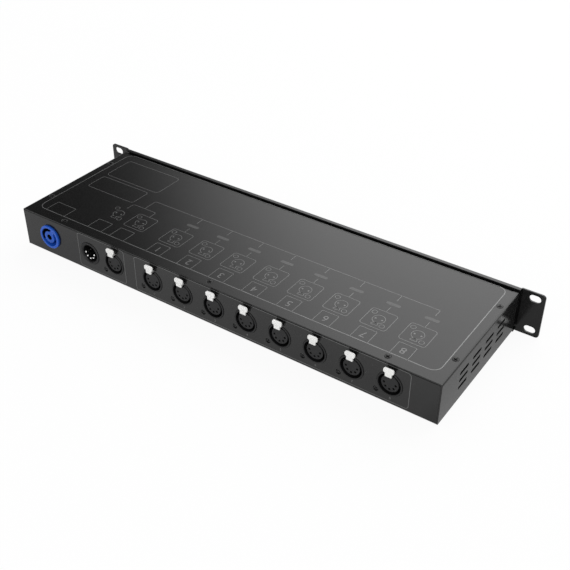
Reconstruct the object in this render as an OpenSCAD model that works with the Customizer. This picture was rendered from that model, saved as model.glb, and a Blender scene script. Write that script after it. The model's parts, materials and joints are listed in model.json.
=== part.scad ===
// Signal splitter in a one-unit rack case: a five-pin input, a link-through socket and
// eight isolated output sockets on the rear wall, with a twist-lock power inlet beside them.
// The origin is the middle of the plane in which the ears meet the rack. +Y points to the
// back of the case, +Z up, and +X to the end that holds the power inlet.

/* [Rack panel] */
// Overall width of the rack panel, across both ears
panel_w = 482.6; // [480:0.1:486]
// Overall height of the rack panel, one rack unit less its clearance
panel_h = 43.66; // [42.5:0.02:46]
// Thickness of the panel's steel sheet
panel_t = 1.5; // [1.2:0.1:2]
// Depth of the folded top and bottom edges, from the panel's front face
panel_fold = 4.75; // [3.5:0.25:7]
// Corner radius of the ears
ear_corner_r = 3; // [1:0.5:5]
// Distance between the mounting slots, side to side
slot_pitch_x = 465.1; // [463:0.1:467]
// Distance between the mounting slots, up and down
slot_pitch_z = 31.75; // [28:0.05:33]
// Length of a mounting slot
slot_len = 10.3; // [8:0.1:11]
// Width of a mounting slot
slot_w = 6.8; // [6:0.1:7.5]

/* [Case] */
// Width of the case
case_w = 440; // [438:0.5:444]
// Depth of the case behind the rack plane
case_d = 144.5; // [140:0.5:165]
// Gap between the case and the panel's folded edges
fold_gap = 0.33; // [0.2:0.01:0.5]
// Slit between the panel's folded edge and the cover's front edge
cover_slit = 1.2; // [0.8:0.1:2.5]
// Thickness of the cover's sheet
cover_t = 1; // [0.8:0.1:1.4]
// Outer bend radius of the cover
cover_bend_r = 1.8; // [1.5:0.1:3]
// How far the cover's side walls end above the underside of the case
cover_side_rise = 0.7; // [0:0.1:1.5]
// Height of the lip folded down along the cover's front edge
cover_lip_h = 6; // [4:0.5:9]
// Thickness of the tray's sheet
tray_t = 1.2; // [1:0.1:1.5]
// Outer bend radius of the tray
tray_bend_r = 1.4; // [1.4:0.1:2.4]
// Gap between the tray and the cover's side walls
side_fit = 0.2; // [0.1:0.05:0.4]
// Height of the tray's side lips
side_lip_h = 8; // [6:0.5:12]
// Depth of the flange folded forward from the top of the rear wall
flange_d = 12; // [11:0.5:15]
// How much shorter the flange is than the rear wall at each end
flange_relief = 8.8; // [6:0.2:14]

/* [Cover screws] */
// Thread diameter of the case screws
screw_d = 3; // [2.5:0.1:3.5]
// Head diameter of the case screws
screw_head_d = 5.8; // [5.2:0.1:6.4]
// Height of a countersunk head
screw_head_h = 1.5; // [1.2:0.1:1.8]
// Length of the case screws
screw_len = 6; // [5:0.5:9]
// Distance of the side screws from the side of the case
side_screw_inset = 5.5; // [5:0.25:7]
// Distance of the front side screws behind the rack plane
side_screw_front = 31.5; // [25:0.5:45]
// Distance between the two screws of one side
side_screw_pitch = 81; // [70:1:88]
// Distance of the rear screws from the rear wall
rear_screw_inset = 6; // [5.5:0.25:8]
// Distance between two neighbouring rear screws
rear_screw_pitch = 171; // [150:1:190]
// How far a side tab reaches past its screw towards the vents
tab_reach = 7; // [5:0.5:9]
// Depth of the ear folded in from the top of a side tab
tab_ear_d = 11; // [10:0.5:14]

/* [Vents] */
// Length of a vent slot
vent_len = 15.3; // [10:0.1:17]
// Width of a vent slot
vent_w = 3.1; // [2:0.1:3.2]
// Vent slots in a row
vent_cols = 4; // [2:1:4]
// Rows of vent slots
vent_rows = 3; // [2:1:3]
// Distance from one vent slot to the next in a row
vent_pitch_y = 23; // [20:0.5:25]
// Distance from one row of vents to the next
vent_pitch_z = 7.2; // [5:0.1:8]
// Distance of the middle of the vents from the rear wall
vent_from_back = 73.5; // [65:0.5:80]
// Height of the middle row above the middle of the case
vent_up = 1.1; // [0:0.1:2]

/* [Signal connectors] */
// Distance of the signal input from the power end of the case
input_from_end = 84; // [80:0.5:86]
// Distance of the link socket from the power end
link_from_end = 114; // [112:0.5:118]
// Distance of the first output from the power end
first_output_from_end = 159.5; // [150:0.5:165]
// Distance of the last output from the far end of the case
last_output_from_far_end = 42.5; // [40:0.5:48]
// Diameter of a connector's collar
collar_d = 22.4; // [22:0.1:23]
// How far a collar stands out of the rear wall
collar_proud = 0.6; // [0.4:0.1:1.5]
// Clearance between a connector and its hole in the rear wall, all round
hole_gap = 0.2; // [0.1:0.05:0.4]
// Inner diameter of a socket's shell
socket_bore_d = 19.8; // [19.4:0.1:20.2]
// Diameter of a socket's insert
core_d = 15.6; // [15:0.1:16]
// Inner diameter of the signal input's shell
plug_bore_d = 16.8; // [16.3:0.1:17.4]
// Radius of the circle on which the contacts stand
contact_circle_r = 5.1; // [4.8:0.1:5.4]
// Diameter of a pin of the signal input
pin_d = 1.7; // [1.4:0.1:1.8]
// Depth of a signal connector behind the face of the rear wall
shell_depth = 20; // [18:0.5:24]
// Width of a connector's mounting flange
flange_w = 29; // [28:0.25:29.5]
// Height of a connector's mounting flange
flange_h = 26; // [25:0.25:28]
// Thickness of a connector's mounting flange
flange_t = 2; // [1.5:0.1:3]
// Sideways distance of the fixing screw from the socket's middle
fixing_side = 11.5; // [11.3:0.1:12]
// Distance of the fixing screw below the socket's middle
fixing_down = 10.2; // [9.6:0.1:10.4]

/* [Push latches] */
// How far a latch can be pushed in
latch_travel = 2; // [1.2:0.1:2.2]
// How far the face of a latch stands out of the rear wall
latch_proud = 4.1; // [3.8:0.1:4.6]
// Thickness of a latch's face plate
latch_plate_t = 1.5; // [1.2:0.1:1.6]
// Width of a latch's head
latch_head_w = 9; // [8:0.1:10]
// Width of a latch's stem
latch_stem_w = 5.7; // [5.2:0.1:6.4]
// Height of the top of a latch above the connector's middle
latch_top = 17.4; // [16.8:0.1:17.8]
// Height at which the head meets the stem
latch_neck = 12.9; // [12.4:0.1:13.3]
// Height of the lower end of the stem
latch_foot = 9.5; // [9:0.1:9.9]
// Clearance round a latch
latch_gap = 0.6; // [0.4:0.05:0.7]
// Width of the latch's arm
latch_arm_w = 4.8; // [4:0.1:5]
// Thickness of the latch's arm
latch_arm_t = 1; // [0.8:0.1:1.2]

/* [Power inlet] */
// Distance of the power inlet from the power end
inlet_from_end = 33; // [32:0.5:38]
// Diameter of the inlet's outer collar
inlet_collar_d = 23.8; // [23.2:0.1:25]
// How far the inlet stands out of the rear wall
inlet_proud = 2.1; // [1:0.1:3]
// Diameter of the inlet's barrel
inlet_barrel_d = 22; // [21.5:0.1:22.5]
// Outer diameter of the ring groove
inlet_groove_d = 18.9; // [18:0.1:19.2]
// Diameter of the core
inlet_core_d = 11.9; // [11.6:0.1:12.4]
// Diameter of the hole in the core
inlet_core_hole_d = 5.8; // [5:0.1:6.4]
// Depth of the ring groove
inlet_groove_depth = 14; // [10:0.5:16]
// Depth of the inlet behind the face of the rear wall
inlet_depth = 24; // [22:0.5:28]
// Diameter of the inlet's retaining nut
inlet_nut_d = 29; // [27:0.5:31]
// Thickness of the retaining nut
inlet_nut_t = 4; // [3:0.5:6]

/* [Front] */
// Distance of the power switch from the power end of the case
switch_from_end = 36; // [32:1:50]
// Width of the switch's bezel
switch_w = 15; // [14:0.5:17]
// Height of the switch's bezel
switch_h = 21; // [20.5:0.5:23]
// Thickness of the bezel
bezel_t = 2; // [1.5:0.1:3]
// Travel of the rocker from off to on, in degrees
rocker_travel = 16; // [10:1:16]
// Distance of the lamp next to the switch from the power end
power_lamp_from_end = 70; // [60:1:80]
// Distance of the first output's lamp from the far end of the case
first_lamp_from_end = 70; // [60:1:80]
// Distance from one output lamp to the next
lamp_pitch = 14; // [11:0.5:15]
// Diameter of a lamp
lamp_d = 3; // [2.5:0.1:4]
// Distance of the outer screws that hold the panel from the sides of the case
panel_screw_inset = 13; // [11:0.5:20]
// Distance of those screws above and below the middle
panel_screw_z = 13; // [11:0.25:14]

/* [Boards] */
// Thickness of the circuit boards
board_t = 1.6; // [1:0.1:2]
// Height of the standoffs under the boards
standoff_h = 6; // [4:0.5:8]
// Outer diameter of a standoff
standoff_d = 5; // [4.5:0.1:6]
// Diameter of the boards' fixing screws
board_screw_d = 2.5; // [2:0.1:3]
// Depth of the main board
main_board_d = 88; // [80:1:92]
// Width of the power supply's board
supply_w = 92; // [84:1:96]
// Depth of the power supply's board
supply_d = 68; // [60:1:72]

/* [Hidden] */
$fn = 64;
TINY = 0.01;
OUTPUTS = 8;
NAMES = concat(["link"], [for (i = [1:OUTPUTS]) str("output_", i)]);

// The case follows from the panel's folds
case_h = panel_h - 2 * (panel_t + fold_gap);
case_top = case_h / 2;
cover_front = panel_fold - panel_t + cover_slit;
cover_inside = case_top - cover_t;
tray_half_w = case_w / 2 - cover_t - side_fit;
tray_floor = -case_top + tray_t;
flange_under = cover_inside - tray_t;
wall_inside = case_d - tray_t;
corner_notch = 4;
wall_low = -case_top + tray_bend_r + 0.5;
front_wall_top = flange_under - 0.6;
front_return_d = 12;
bore_gap = 0.05;
vents_mid = case_d - vent_from_back;
vents_half = (vent_pitch_y * (vent_cols - 1) + vent_len) / 2 + 0.5;
vents_high = vent_up + (vent_pitch_z * (vent_rows - 1) + vent_w) / 2 + 0.5;
tab_foot = 6;

// Case screws and what they go into
insert_d = screw_d + 1.6;
insert_h = 2.2;
nut_h = 2.2;
nut_w = screw_d + 2.5;
cover_screw_places = concat(
    [for (side = [-1, 1], step = [0, 1])
        [side * (case_w / 2 - side_screw_inset), side_screw_front + step * side_screw_pitch]],
    [for (step = [-1:1]) [step * rear_screw_pitch, case_d - rear_screw_inset]]);
panel_screw_places = [for (x = [-1:1], z = [-1, 1])
    [x * (case_w / 2 - panel_screw_inset), z * panel_screw_z]];

// The outputs stand evenly between the first and the last, and never nearer than their flanges
output_clear = 0.5;
output_pitch = max(flange_w + output_clear,
    (case_w - first_output_from_end - last_output_from_far_end) / (OUTPUTS - 1));

// Sockets, from the link to the last output, as distances from the power end
socket_places = concat([link_from_end],
    [for (i = [0:OUTPUTS - 1]) first_output_from_end + i * output_pitch]);
signal_places = concat([input_from_end], socket_places);
contact_places = [for (i = [0:4]) contact_circle_r * [cos(180 + 45 * i), sin(180 + 45 * i)]];
core_front = -0.2;
contact_d = pin_d + 0.5;
contact_bore_d = pin_d + 0.1;
contact_gap = 0.1;
contact_back = -12;
contact_front = -3;
contact_bore_depth = 8;
tail_d = 1;
core_base_t = 3;
plug_floor = -14.5;
pin_front = 0.5;
mouth_bevel = 0.9;
key_w = 1.6;
key_h = 1;
barrel_wall = 1.6;
collar_edge = 0.3;
wall_hole_r = collar_d / 2 + hole_gap;

// The small screw beside each socket
fixing_d = 2.6;
fixing_head_d = 3.9;
fixing_head_h = 0.9;
fixing_sink = 0.8;
fixing_len = 8;
boss_d = 6;
boss_depth = 9;

// The latch's arm runs in a channel over the socket's bore, and ends in a tail in a wider chamber
arm_low = socket_bore_d / 2 + 0.5;
arm_high = arm_low + latch_arm_t;
channel_low = socket_bore_d / 2 - 1;
channel_high = arm_high + latch_gap;
chamber_front = -10;
tail_gap = 0.3;
tail_w = latch_arm_w + 2.2;
tail_t = 1.6;
tail_back = chamber_front - tail_gap - tail_t;
spring_room = 4;
chamber_back = tail_back - spring_room;
tower_w = tail_w + 2 * latch_gap + 2.4;
tower_top = channel_high + 1.3;
notch_floor = latch_proud - latch_plate_t - latch_travel - 0.4;
hook_low = arm_low - 1.8;
hook_w = 3.6;
latch_corner_r = 1.7;
hook_len = 2.4;
spring_t = 0.3;
spring_w = 4;
spring_bend_r = 0.7;
spring_lean = 35;
spring_gap = 0.05;

// Power inlet
inlet_edge = 0.4;
inlet_groove_floor = inlet_proud - inlet_groove_depth;
inlet_core_floor = inlet_proud - 10;
inlet_key_w = 4;
inlet_key_turn = 55;
inlet_tab_spread = 7;
blade_w = 6.3;
blade_t = 0.8;
blade_len = 10;
blade_hole_d = 1.6;
blade_hole_in = 2.2;

// Rocker switch
switch_x = case_w / 2 - switch_from_end;
pivot_back = 4;
switch_depth = 20;
rocker_half_h = 8;
rocker_end_high = 7.5;
rocker_mid_high = 6;
rocker_end_low = 5;
rocker_foot_half = 4;
rocker_foot_low = 2.2;
rocker_w = switch_w - 4.4;
rocker_gap = 0.2;
window_half_h = rocker_half_h + 1.3;
body_w = rocker_w + 2 * rocker_gap + 2;
body_h = 2 * window_half_h + 0.6;
pivot_r = 1;
pivot_len = 0.8;
pivot_gap = 0.05;
cavity_depth = 10;
clip_w = 5;
clip_h = 1.2;
clip_len = 2.5;
switch_tab_len = 8;
switch_tab_pitch = 6;

// Boards
board_z = tray_floor + standoff_h;
board_top = board_z + board_t;
socket_board_y = case_d - shell_depth - board_t;
socket_board_low = tray_floor + 1.2;
socket_board_high = 14;
socket_board_margin = 16;
main_board_back = socket_board_y - 0.3;
main_board_front = main_board_back - main_board_d;
main_board_left = case_w / 2 - socket_places[OUTPUTS] - socket_board_margin;
main_board_right = case_w / 2 - socket_places[0] - 8;
supply_left = main_board_right + 8;
supply_back = main_board_front + supply_d;
board_inset = 5;
board_hole_gap = 0.1;
main_fixings = [for (x = [main_board_left + board_inset, (main_board_left + main_board_right) / 2,
    main_board_right - board_inset], y = [main_board_front + board_inset,
    main_board_back - board_inset]) [x, y]];
supply_fixings = [for (x = [supply_left + board_inset, supply_left + supply_w - board_inset],
    y = [main_board_front + board_inset, supply_back - board_inset]) [x, y]];
fixings = concat(main_fixings, supply_fixings);
board_screw_len = 4;
board_head_h = 1.6;
link_w = 20;
link_h = 2.5;
main_board_mid = (main_board_left + main_board_right) / 2;
link_places = [for (step = [-1:1]) main_board_mid + step * (main_board_right - main_board_left) / 3];
driver_len = 9.8;
driver_legs = 4;
driver_back = 16;
opto_len = 7.4;
opto_legs = 3;
opto_back = 34;
converter_size = [19.5, 7, 10];
converter_back = 58;
leg_pitch = 2.54;
leg_w = 0.6;
leg_t = 0.5;
chip_w = 6.4;
chip_h = 3.4;
chip_lift = 0.6;
core_size = [38, 16, 26];
bobbin_size = [26, 30, 20];
transformer_in = 33;
tall_capacitor = [13, 20];
tall_capacitor_in = 26;
tall_capacitor_apart = 27.2;
low_capacitor = [8, 12];
low_capacitor_in = 12;
low_capacitor_apart = 20.4;
earth_in = 15;
earth_d = 4;
earth_h = 12;
earth_washer_d = 9;
earth_nut_w = 7;
earth_nut_h = 3.2;
earth_place = [case_w / 2 - earth_in, case_d - earth_in - earth_washer_d / 2];

// Status lamps
first_lamp_x = first_lamp_from_end - case_w / 2;
power_lamp_x = case_w / 2 - power_lamp_from_end;
lamp_board_y = 9;
lamp_board_h = 12;
lamp_board_margin = 10;
lamp_out = 1.2;
lamp_rim = 0.4;
lamp_gap = 0.2;
lamp_places = concat([for (i = [0:OUTPUTS - 1]) first_lamp_x + i * lamp_pitch],
    [first_lamp_x + (OUTPUTS + 1) * lamp_pitch, power_lamp_x]);

// A rectangle with rounded corners, about its middle
module rounded_2d(w, h, r) {
    square([w - 2 * r, h], center = true);
    square([w, h - 2 * r], center = true);
    for (x = [-1, 1], y = [-1, 1])
        translate([x * (w / 2 - r), y * (h / 2 - r)]) circle(r);
}

// An oblong with round ends, about its middle
module oblong_2d(len, w) {
    square([len - w, w], center = true);
    for (side = [-1, 1]) translate([side * (len - w) / 2, 0]) circle(d = w);
}

// A closed band of sheet between two ends and two heights, with rounded bends
module band_2d(from, to, low, high, t, r) {
    translate([(from + to) / 2, (low + high) / 2]) difference() {
        rounded_2d(to - from, high - low, r);
        rounded_2d(to - from - 2 * t, high - low - 2 * t, max(r - t, 0.2));
    }
}

// What a bend leaves outside its quarter circle, for a corner at the origin
module bend_waste_2d(r) {
    difference() {
        translate([-1, -1]) square(r + 1);
        translate([r, r]) circle(r);
    }
}

// Runs a section drawn in the Y-Z plane along X, about the middle
module along_x(w) {
    translate([-w / 2, 0, 0]) rotate([90, 0, 90]) linear_extrude(w) children();
}

// Runs a section drawn in the X-Z plane along Y
module along_y(from, to) {
    translate([0, to, 0]) rotate([90, 0, 0]) linear_extrude(to - from) children();
}

// Stands its children on the rear wall: x to the right as seen from behind, y up, z outwards
module on_rear(from_end) {
    translate([case_w / 2 - from_end, case_d, 0]) rotate([90, 0, 180]) children();
}

// Stands its children on the panel's front face: x to the right, y up, z outwards
module on_front(x, z = 0) {
    translate([x, -panel_t, z]) rotate([90, 0, 0]) children();
}

// A countersunk screw with its head up: the head's face is at zero
module screw(d, head_d, head_h, len) {
    recess_d = 0.55 * head_d;
    recess_w = 0.13 * head_d;
    difference() {
        screw_room(d, head_d, head_h, len);
        for (turn = [0, 90]) rotate(turn) translate([-recess_d / 2, -recess_w / 2, -0.65 * head_h])
            cube([recess_d, recess_w, head_h]);
    }
}

// The space that a countersunk screw fills, with a clearance round its shank
module screw_room(d, head_d, head_h, len, gap = 0) {
    translate([0, 0, -head_h]) cylinder(h = head_h, d1 = d + 2 * gap, d2 = head_d);
    translate([0, 0, -len]) cylinder(h = len - head_h + TINY, d = d + 2 * gap);
    if (gap > 0) translate([0, 0, -TINY]) cylinder(h = 1, d = head_d);
}

module case_screw_room() {
    screw_room(screw_d, screw_head_d, screw_head_h, screw_len + 1, bore_gap);
}

module cover_screw_rooms() {
    for (place = cover_screw_places) translate([place[0], place[1], case_top]) case_screw_room();
}

module panel_screw_rooms() {
    for (place = panel_screw_places) on_front(place[0], place[1]) case_screw_room();
}

// A six-sided nut, w wide across its flats
module hex_nut(w, h, bore) {
    difference() {
        cylinder(h = h, d = w / cos(30), $fn = 6);
        translate([0, 0, -1]) cylinder(h = h + 2, d = bore);
    }
}

// Floor, rear wall with its flange, and front wall with its side returns
module tray_walls() {
    flange_end = tray_half_w - flange_relief;
    difference() {
        along_x(2 * (tray_half_w - corner_notch)) difference() {
            band_2d(0, case_d, -case_top, cover_inside, tray_t, tray_bend_r);
            translate([-1, front_wall_top]) square([case_d - flange_d + 1, case_h]);
        }
        for (side = [-1, 1]) translate([side * (flange_end + case_w / 4), case_d - flange_d, case_h / 2])
            cube([case_w / 2, 4 * flange_d, case_h], center = true);
    }
    along_x(2 * tray_half_w) intersection() {
        band_2d(0, case_d, -case_top, cover_inside, tray_t, tray_bend_r);
        translate([wall_inside, -case_top]) square([tray_t, case_top + cover_inside - 0.3]);
    }
    translate([0, 0, wall_low]) linear_extrude(front_wall_top - wall_low) difference() {
        band_2d(-tray_half_w, tray_half_w, 0, 4 * front_return_d, tray_t, tray_bend_r);
        translate([-case_w, front_return_d]) square([2 * case_w, 4 * front_return_d]);
    }
}

// Floor with its side lips, and the tabs that carry the side screws
module tray_sides() {
    front_tab = [min(side_screw_front - tab_reach, vents_mid - vents_half - tab_foot),
        side_screw_front + tab_reach];
    rear_screw_y = side_screw_front + side_screw_pitch;
    rear_tab = [rear_screw_y - tab_reach,
        max(rear_screw_y + tab_reach, vents_mid + vents_half + tab_foot)];
    lip_top = -case_top + side_lip_h;
    along_y(corner_notch, case_d - corner_notch) difference() {
        band_2d(-tray_half_w, tray_half_w, -case_top, cover_inside, tray_t, tray_bend_r);
        translate([-case_w, lip_top]) square([2 * case_w, case_h]);
    }
    difference() {
        for (tab = [front_tab, rear_tab]) along_y(tab[0], tab[1]) difference() {
            band_2d(-tray_half_w, tray_half_w, -case_top, cover_inside, tray_t, tray_bend_r);
            translate([tab_ear_d - tray_half_w, 0]) square([2 * (tray_half_w - tab_ear_d), case_h]);
        }
        translate([-case_w, vents_mid - vents_half, lip_top])
            cube([2 * case_w, 2 * vents_half, vents_high - lip_top]);
    }
}

// Outline of the hole in the rear wall for a socket and the arm of its latch
module socket_hole_2d() {
    circle(wall_hole_r);
    translate([-latch_arm_w / 2 - latch_gap, 0]) square([latch_arm_w + 2 * latch_gap, channel_high]);
}

module base_tray() {
    color("#2a2b2d") difference() {
        union() {
            tray_walls();
            tray_sides();
        }
        cover_screw_rooms();
        panel_screw_rooms();
        for (place = socket_places) on_rear(place) translate([0, 0, -tray_t - 0.5])
            linear_extrude(tray_t + 1) socket_hole_2d();
        on_rear(input_from_end) translate([0, 0, -tray_t - 1]) cylinder(h = tray_t + 2, r = wall_hole_r);
        on_rear(inlet_from_end) translate([0, 0, -tray_t - 1])
            cylinder(h = tray_t + 2, r = inlet_barrel_d / 2 + hole_gap);
        for (place = socket_places) on_rear(place) fixing_room();
        switch_hole();
        lamp_holes();
    }
}

module top_cover() {
    lip_w = case_w - 4 * cover_bend_r - 3;
    color("#2a2b2d") difference() {
        union() {
            along_y(cover_front, case_d) difference() {
                band_2d(-case_w / 2, case_w / 2, -case_top - case_h, case_top, cover_t, cover_bend_r);
                translate([-case_w, -4 * case_h])
                    square([2 * case_w, 4 * case_h - case_top + cover_side_rise]);
            }
            along_x(lip_w) intersection() {
                band_2d(cover_front, case_d, -case_top, case_top, cover_t, cover_bend_r);
                translate([cover_front, case_top - cover_lip_h]) square([2 * cover_bend_r, cover_lip_h]);
            }
        }
        along_x(lip_w) translate([cover_front, case_top]) mirror([0, 1]) bend_waste_2d(cover_bend_r);
        cover_screw_rooms();
        for (col = [0:vent_cols - 1], row = [0:vent_rows - 1])
            translate([0, vents_mid + (col - (vent_cols - 1) / 2) * vent_pitch_y,
                vent_up + (row - (vent_rows - 1) / 2) * vent_pitch_z])
                along_x(2 * case_w) oblong_2d(vent_len, vent_w);
    }
}

module front_panel() {
    color("#2a2b2d") difference() {
        union() {
            along_y(-panel_t, 0) rounded_2d(panel_w, panel_h, ear_corner_r);
            for (side = [-1, 1]) translate([0, panel_fold / 2 - panel_t, side * (panel_h - panel_t) / 2])
                cube([case_w, panel_fold, panel_t], center = true);
        }
        for (side = [0, 1]) mirror([0, 0, side])
            along_x(case_w) translate([-panel_t, -panel_h / 2]) bend_waste_2d(panel_t + 0.3);
        for (x = [-1, 1], z = [-1, 1]) translate([x * slot_pitch_x / 2, 0, z * slot_pitch_z / 2])
            along_y(-panel_t - 1, 1) oblong_2d(slot_len, slot_w);
        panel_screw_rooms();
        switch_hole();
        lamp_holes();
    }
}

// The hole for the switch's body, through the panel and the tray's front wall
module switch_hole() {
    on_front(switch_x) translate([0, 0, -(panel_t + tray_t) / 2])
        cube([body_w + 2 * hole_gap, body_h + 2 * hole_gap, panel_t + tray_t + 2], center = true);
}

module lamp_holes() {
    for (x = lamp_places) on_front(x) translate([0, 0, -panel_t - tray_t - 1])
        cylinder(h = panel_t + tray_t + 2, d = lamp_d + 2 * lamp_gap);
}

module cover_screws() {
    color("#111112") for (place = cover_screw_places) translate([place[0], place[1], case_top])
        screw(screw_d, screw_head_d, screw_head_h, screw_len);
}

module cover_inserts() {
    color("silver") for (place = cover_screw_places)
        translate([place[0], place[1], flange_under - insert_h]) difference() {
            cylinder(h = insert_h, d = insert_d);
            translate([0, 0, -1]) cylinder(h = insert_h + 2, d = screw_d + 2 * bore_gap);
        }
}

module panel_screws() {
    color("#111112") for (place = panel_screw_places) on_front(place[0], place[1])
        screw(screw_d, screw_head_d, screw_head_h, screw_len);
}

module panel_nuts() {
    color("silver") for (place = panel_screw_places) translate([place[0], tray_t + nut_h, place[1]])
        rotate([90, 0, 0]) hex_nut(nut_w, nut_h, screw_d + 2 * bore_gap);
}

// Collar, flange and barrel, which every signal connector has
module connector_body() {
    barrel_r = socket_bore_d / 2 + barrel_wall;
    translate([0, 0, -tray_t - flange_t]) {
        cylinder(h = tray_t + flange_t + collar_proud - collar_edge, d = collar_d);
        translate([0, 0, tray_t + flange_t + collar_proud - collar_edge])
            cylinder(h = collar_edge, d1 = collar_d, d2 = collar_d - 2 * collar_edge);
        linear_extrude(flange_t) rounded_2d(flange_w, flange_h, 2);
    }
    translate([0, 0, -shell_depth]) cylinder(h = shell_depth - tray_t - TINY, r = barrel_r);
}

// Hole for the small screw, with a countersink that is deeper than its head
module fixing_room() {
    slope = (fixing_head_d - fixing_d) / fixing_head_h;
    translate([-fixing_side, -fixing_down, 0])
        screw_room(fixing_d, fixing_head_d + fixing_sink * slope, fixing_head_h + fixing_sink,
            fixing_len, bore_gap);
}

// Shell of a socket, with the channel and chamber of its latch
module socket_shell() {
    color("#1b1b1d") difference() {
        union() {
            connector_body();
            translate([-fixing_side, -fixing_down, -tray_t - boss_depth])
                cylinder(h = boss_depth - TINY, d = boss_d);
            translate([-tower_w / 2, channel_low - 1, -shell_depth])
                cube([tower_w, tower_top - channel_low + 1, shell_depth - tray_t - TINY]);
        }
        translate([0, 0, -shell_depth - 1]) cylinder(h = shell_depth + collar_proud + 2, d = socket_bore_d);
        translate([-latch_arm_w / 2 - latch_gap, channel_low, chamber_front - 1])
            cube([latch_arm_w + 2 * latch_gap, channel_high - channel_low, 3 - chamber_front]);
        translate([-tail_w / 2 - latch_gap, channel_low, chamber_back])
            cube([tail_w + 2 * latch_gap, channel_high - channel_low, chamber_front - chamber_back]);
        translate([-latch_stem_w / 2 - latch_gap, latch_foot - latch_gap, notch_floor])
            cube([latch_stem_w + 2 * latch_gap, latch_top - latch_foot, 3]);
        fixing_room();
    }
}

// Insert of a socket: a round core with its contact holes, on a base that fills the bore
module socket_insert() {
    color("#2c2c2e") difference() {
        union() {
            translate([0, 0, -shell_depth])
                cylinder(h = shell_depth + core_front - collar_edge, d = core_d);
            translate([0, 0, core_front - collar_edge])
                cylinder(h = collar_edge, d1 = core_d, d2 = core_d - 2 * collar_edge);
            translate([0, 0, -shell_depth]) cylinder(h = core_base_t, r = socket_bore_d / 2 - bore_gap);
        }
        for (place = contact_places) translate(place) {
            translate([0, 0, contact_back])
                cylinder(h = contact_front + contact_gap - contact_back, d = contact_d + 2 * contact_gap);
            translate([0, 0, contact_front]) cylinder(h = shell_depth, d = contact_bore_d + 2 * contact_gap);
            translate([0, 0, -shell_depth - 1]) cylinder(h = shell_depth, d = tail_d + 2 * contact_gap);
        }
        translate([-key_w / 2, core_d / 2 - key_h, core_base_t - shell_depth])
            cube([key_w, 2 * key_h, shell_depth + 2]);
    }
}

// Push latch: a T-shaped face, an arm with a hook, and a tail that stops it
module socket_latch() {
    head_h = latch_top - latch_neck;
    color("#f2f2f0") {
        translate([0, 0, latch_proud - latch_plate_t]) linear_extrude(latch_plate_t) {
            translate([0, latch_top - head_h / 2]) rounded_2d(latch_head_w, head_h, latch_corner_r);
            translate([-latch_stem_w / 2, latch_foot])
                square([latch_stem_w, latch_neck - latch_foot + 2]);
        }
        translate([-latch_arm_w / 2, arm_low, tail_back])
            cube([latch_arm_w, latch_arm_t, latch_proud - latch_plate_t - tail_back + TINY]);
        translate([-tail_w / 2, arm_low, tail_back]) cube([tail_w, latch_arm_t, tail_t]);
        hook();
    }
}

// The hook under the latch's arm, sloped towards the plug that pushes it aside
module hook() {
    back = tail_back + tail_t;
    translate([-hook_w / 2, 0, 0]) rotate([90, 0, 90]) linear_extrude(hook_w)
        polygon([[arm_low + TINY, back], [hook_low, back], [hook_low, back + hook_len / 2],
            [arm_low + TINY, back + hook_len]]);
}

// Bent leaf spring between the back of the chamber and the latch's tail
module latch_spring() {
    lean_r = spring_bend_r - spring_t;
    leg = (spring_room - 2 * spring_gap - spring_bend_r * (1 + sin(spring_lean))) / cos(spring_lean);
    far = 2 * spring_bend_r;
    translate([-spring_w / 2, 0, 0]) rotate([90, 0, 90]) linear_extrude(spring_w)
        translate([channel_high - 2 * spring_gap - spring_bend_r,
            chamber_back + spring_gap + spring_bend_r]) {
            intersection() {
                difference() {
                    circle(spring_bend_r);
                    circle(lean_r);
                }
                polygon([[0, 0], [0, -far], [far, -far], [far, far * tan(spring_lean)]]);
            }
            translate([-1.6, -spring_bend_r]) square([1.6, spring_t]);
            rotate(spring_lean) translate([lean_r, 0]) square([spring_t, leg]);
        }
}

module latch_springs() {
    color("silver") for (place = socket_places) on_rear(place) latch_spring();
}

// Hollow contacts in every socket, with tails that pass through the board behind
module socket_contacts() {
    color("gold") for (place = socket_places, spot = contact_places)
        on_rear(place) translate(spot) difference() {
            union() {
                translate([0, 0, contact_back]) cylinder(h = contact_front - contact_back, d = contact_d);
                translate([0, 0, -shell_depth - board_t - 1.4])
                    cylinder(h = shell_depth + board_t + 1.4 + contact_back + TINY, d = tail_d);
            }
            translate([0, 0, contact_front - contact_bore_depth])
                cylinder(h = contact_bore_depth + 1, d = contact_bore_d);
        }
}

module connector_screws() {
    color("#3a3a3c") for (place = socket_places) on_rear(place)
        translate([-fixing_side, -fixing_down, -fixing_sink])
            screw(fixing_d, fixing_head_d, fixing_head_h, fixing_len - fixing_sink);
}

// Shell of the signal input, with the key that guides the plug
module input_shell() {
    color("#1b1b1d") on_rear(input_from_end) {
        difference() {
            connector_body();
            translate([0, 0, -shell_depth - 1])
                cylinder(h = shell_depth + collar_proud + 2, d = plug_bore_d);
            translate([0, 0, collar_proud - mouth_bevel]) cylinder(h = mouth_bevel + TINY,
                d1 = plug_bore_d, d2 = plug_bore_d + 2 * mouth_bevel);
        }
        translate([-key_w / 2, plug_bore_d / 2 - key_h, plug_floor])
            cube([key_w, key_h + barrel_wall / 2, -plug_floor - 1]);
    }
}

module input_insert() {
    color("#1b1b1d") on_rear(input_from_end) translate([0, 0, -shell_depth]) difference() {
        cylinder(h = shell_depth + plug_floor, r = plug_bore_d / 2 - bore_gap);
        for (place = contact_places) translate([place[0], place[1], -1])
            cylinder(h = shell_depth, d = pin_d + 2 * bore_gap);
    }
}

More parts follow.
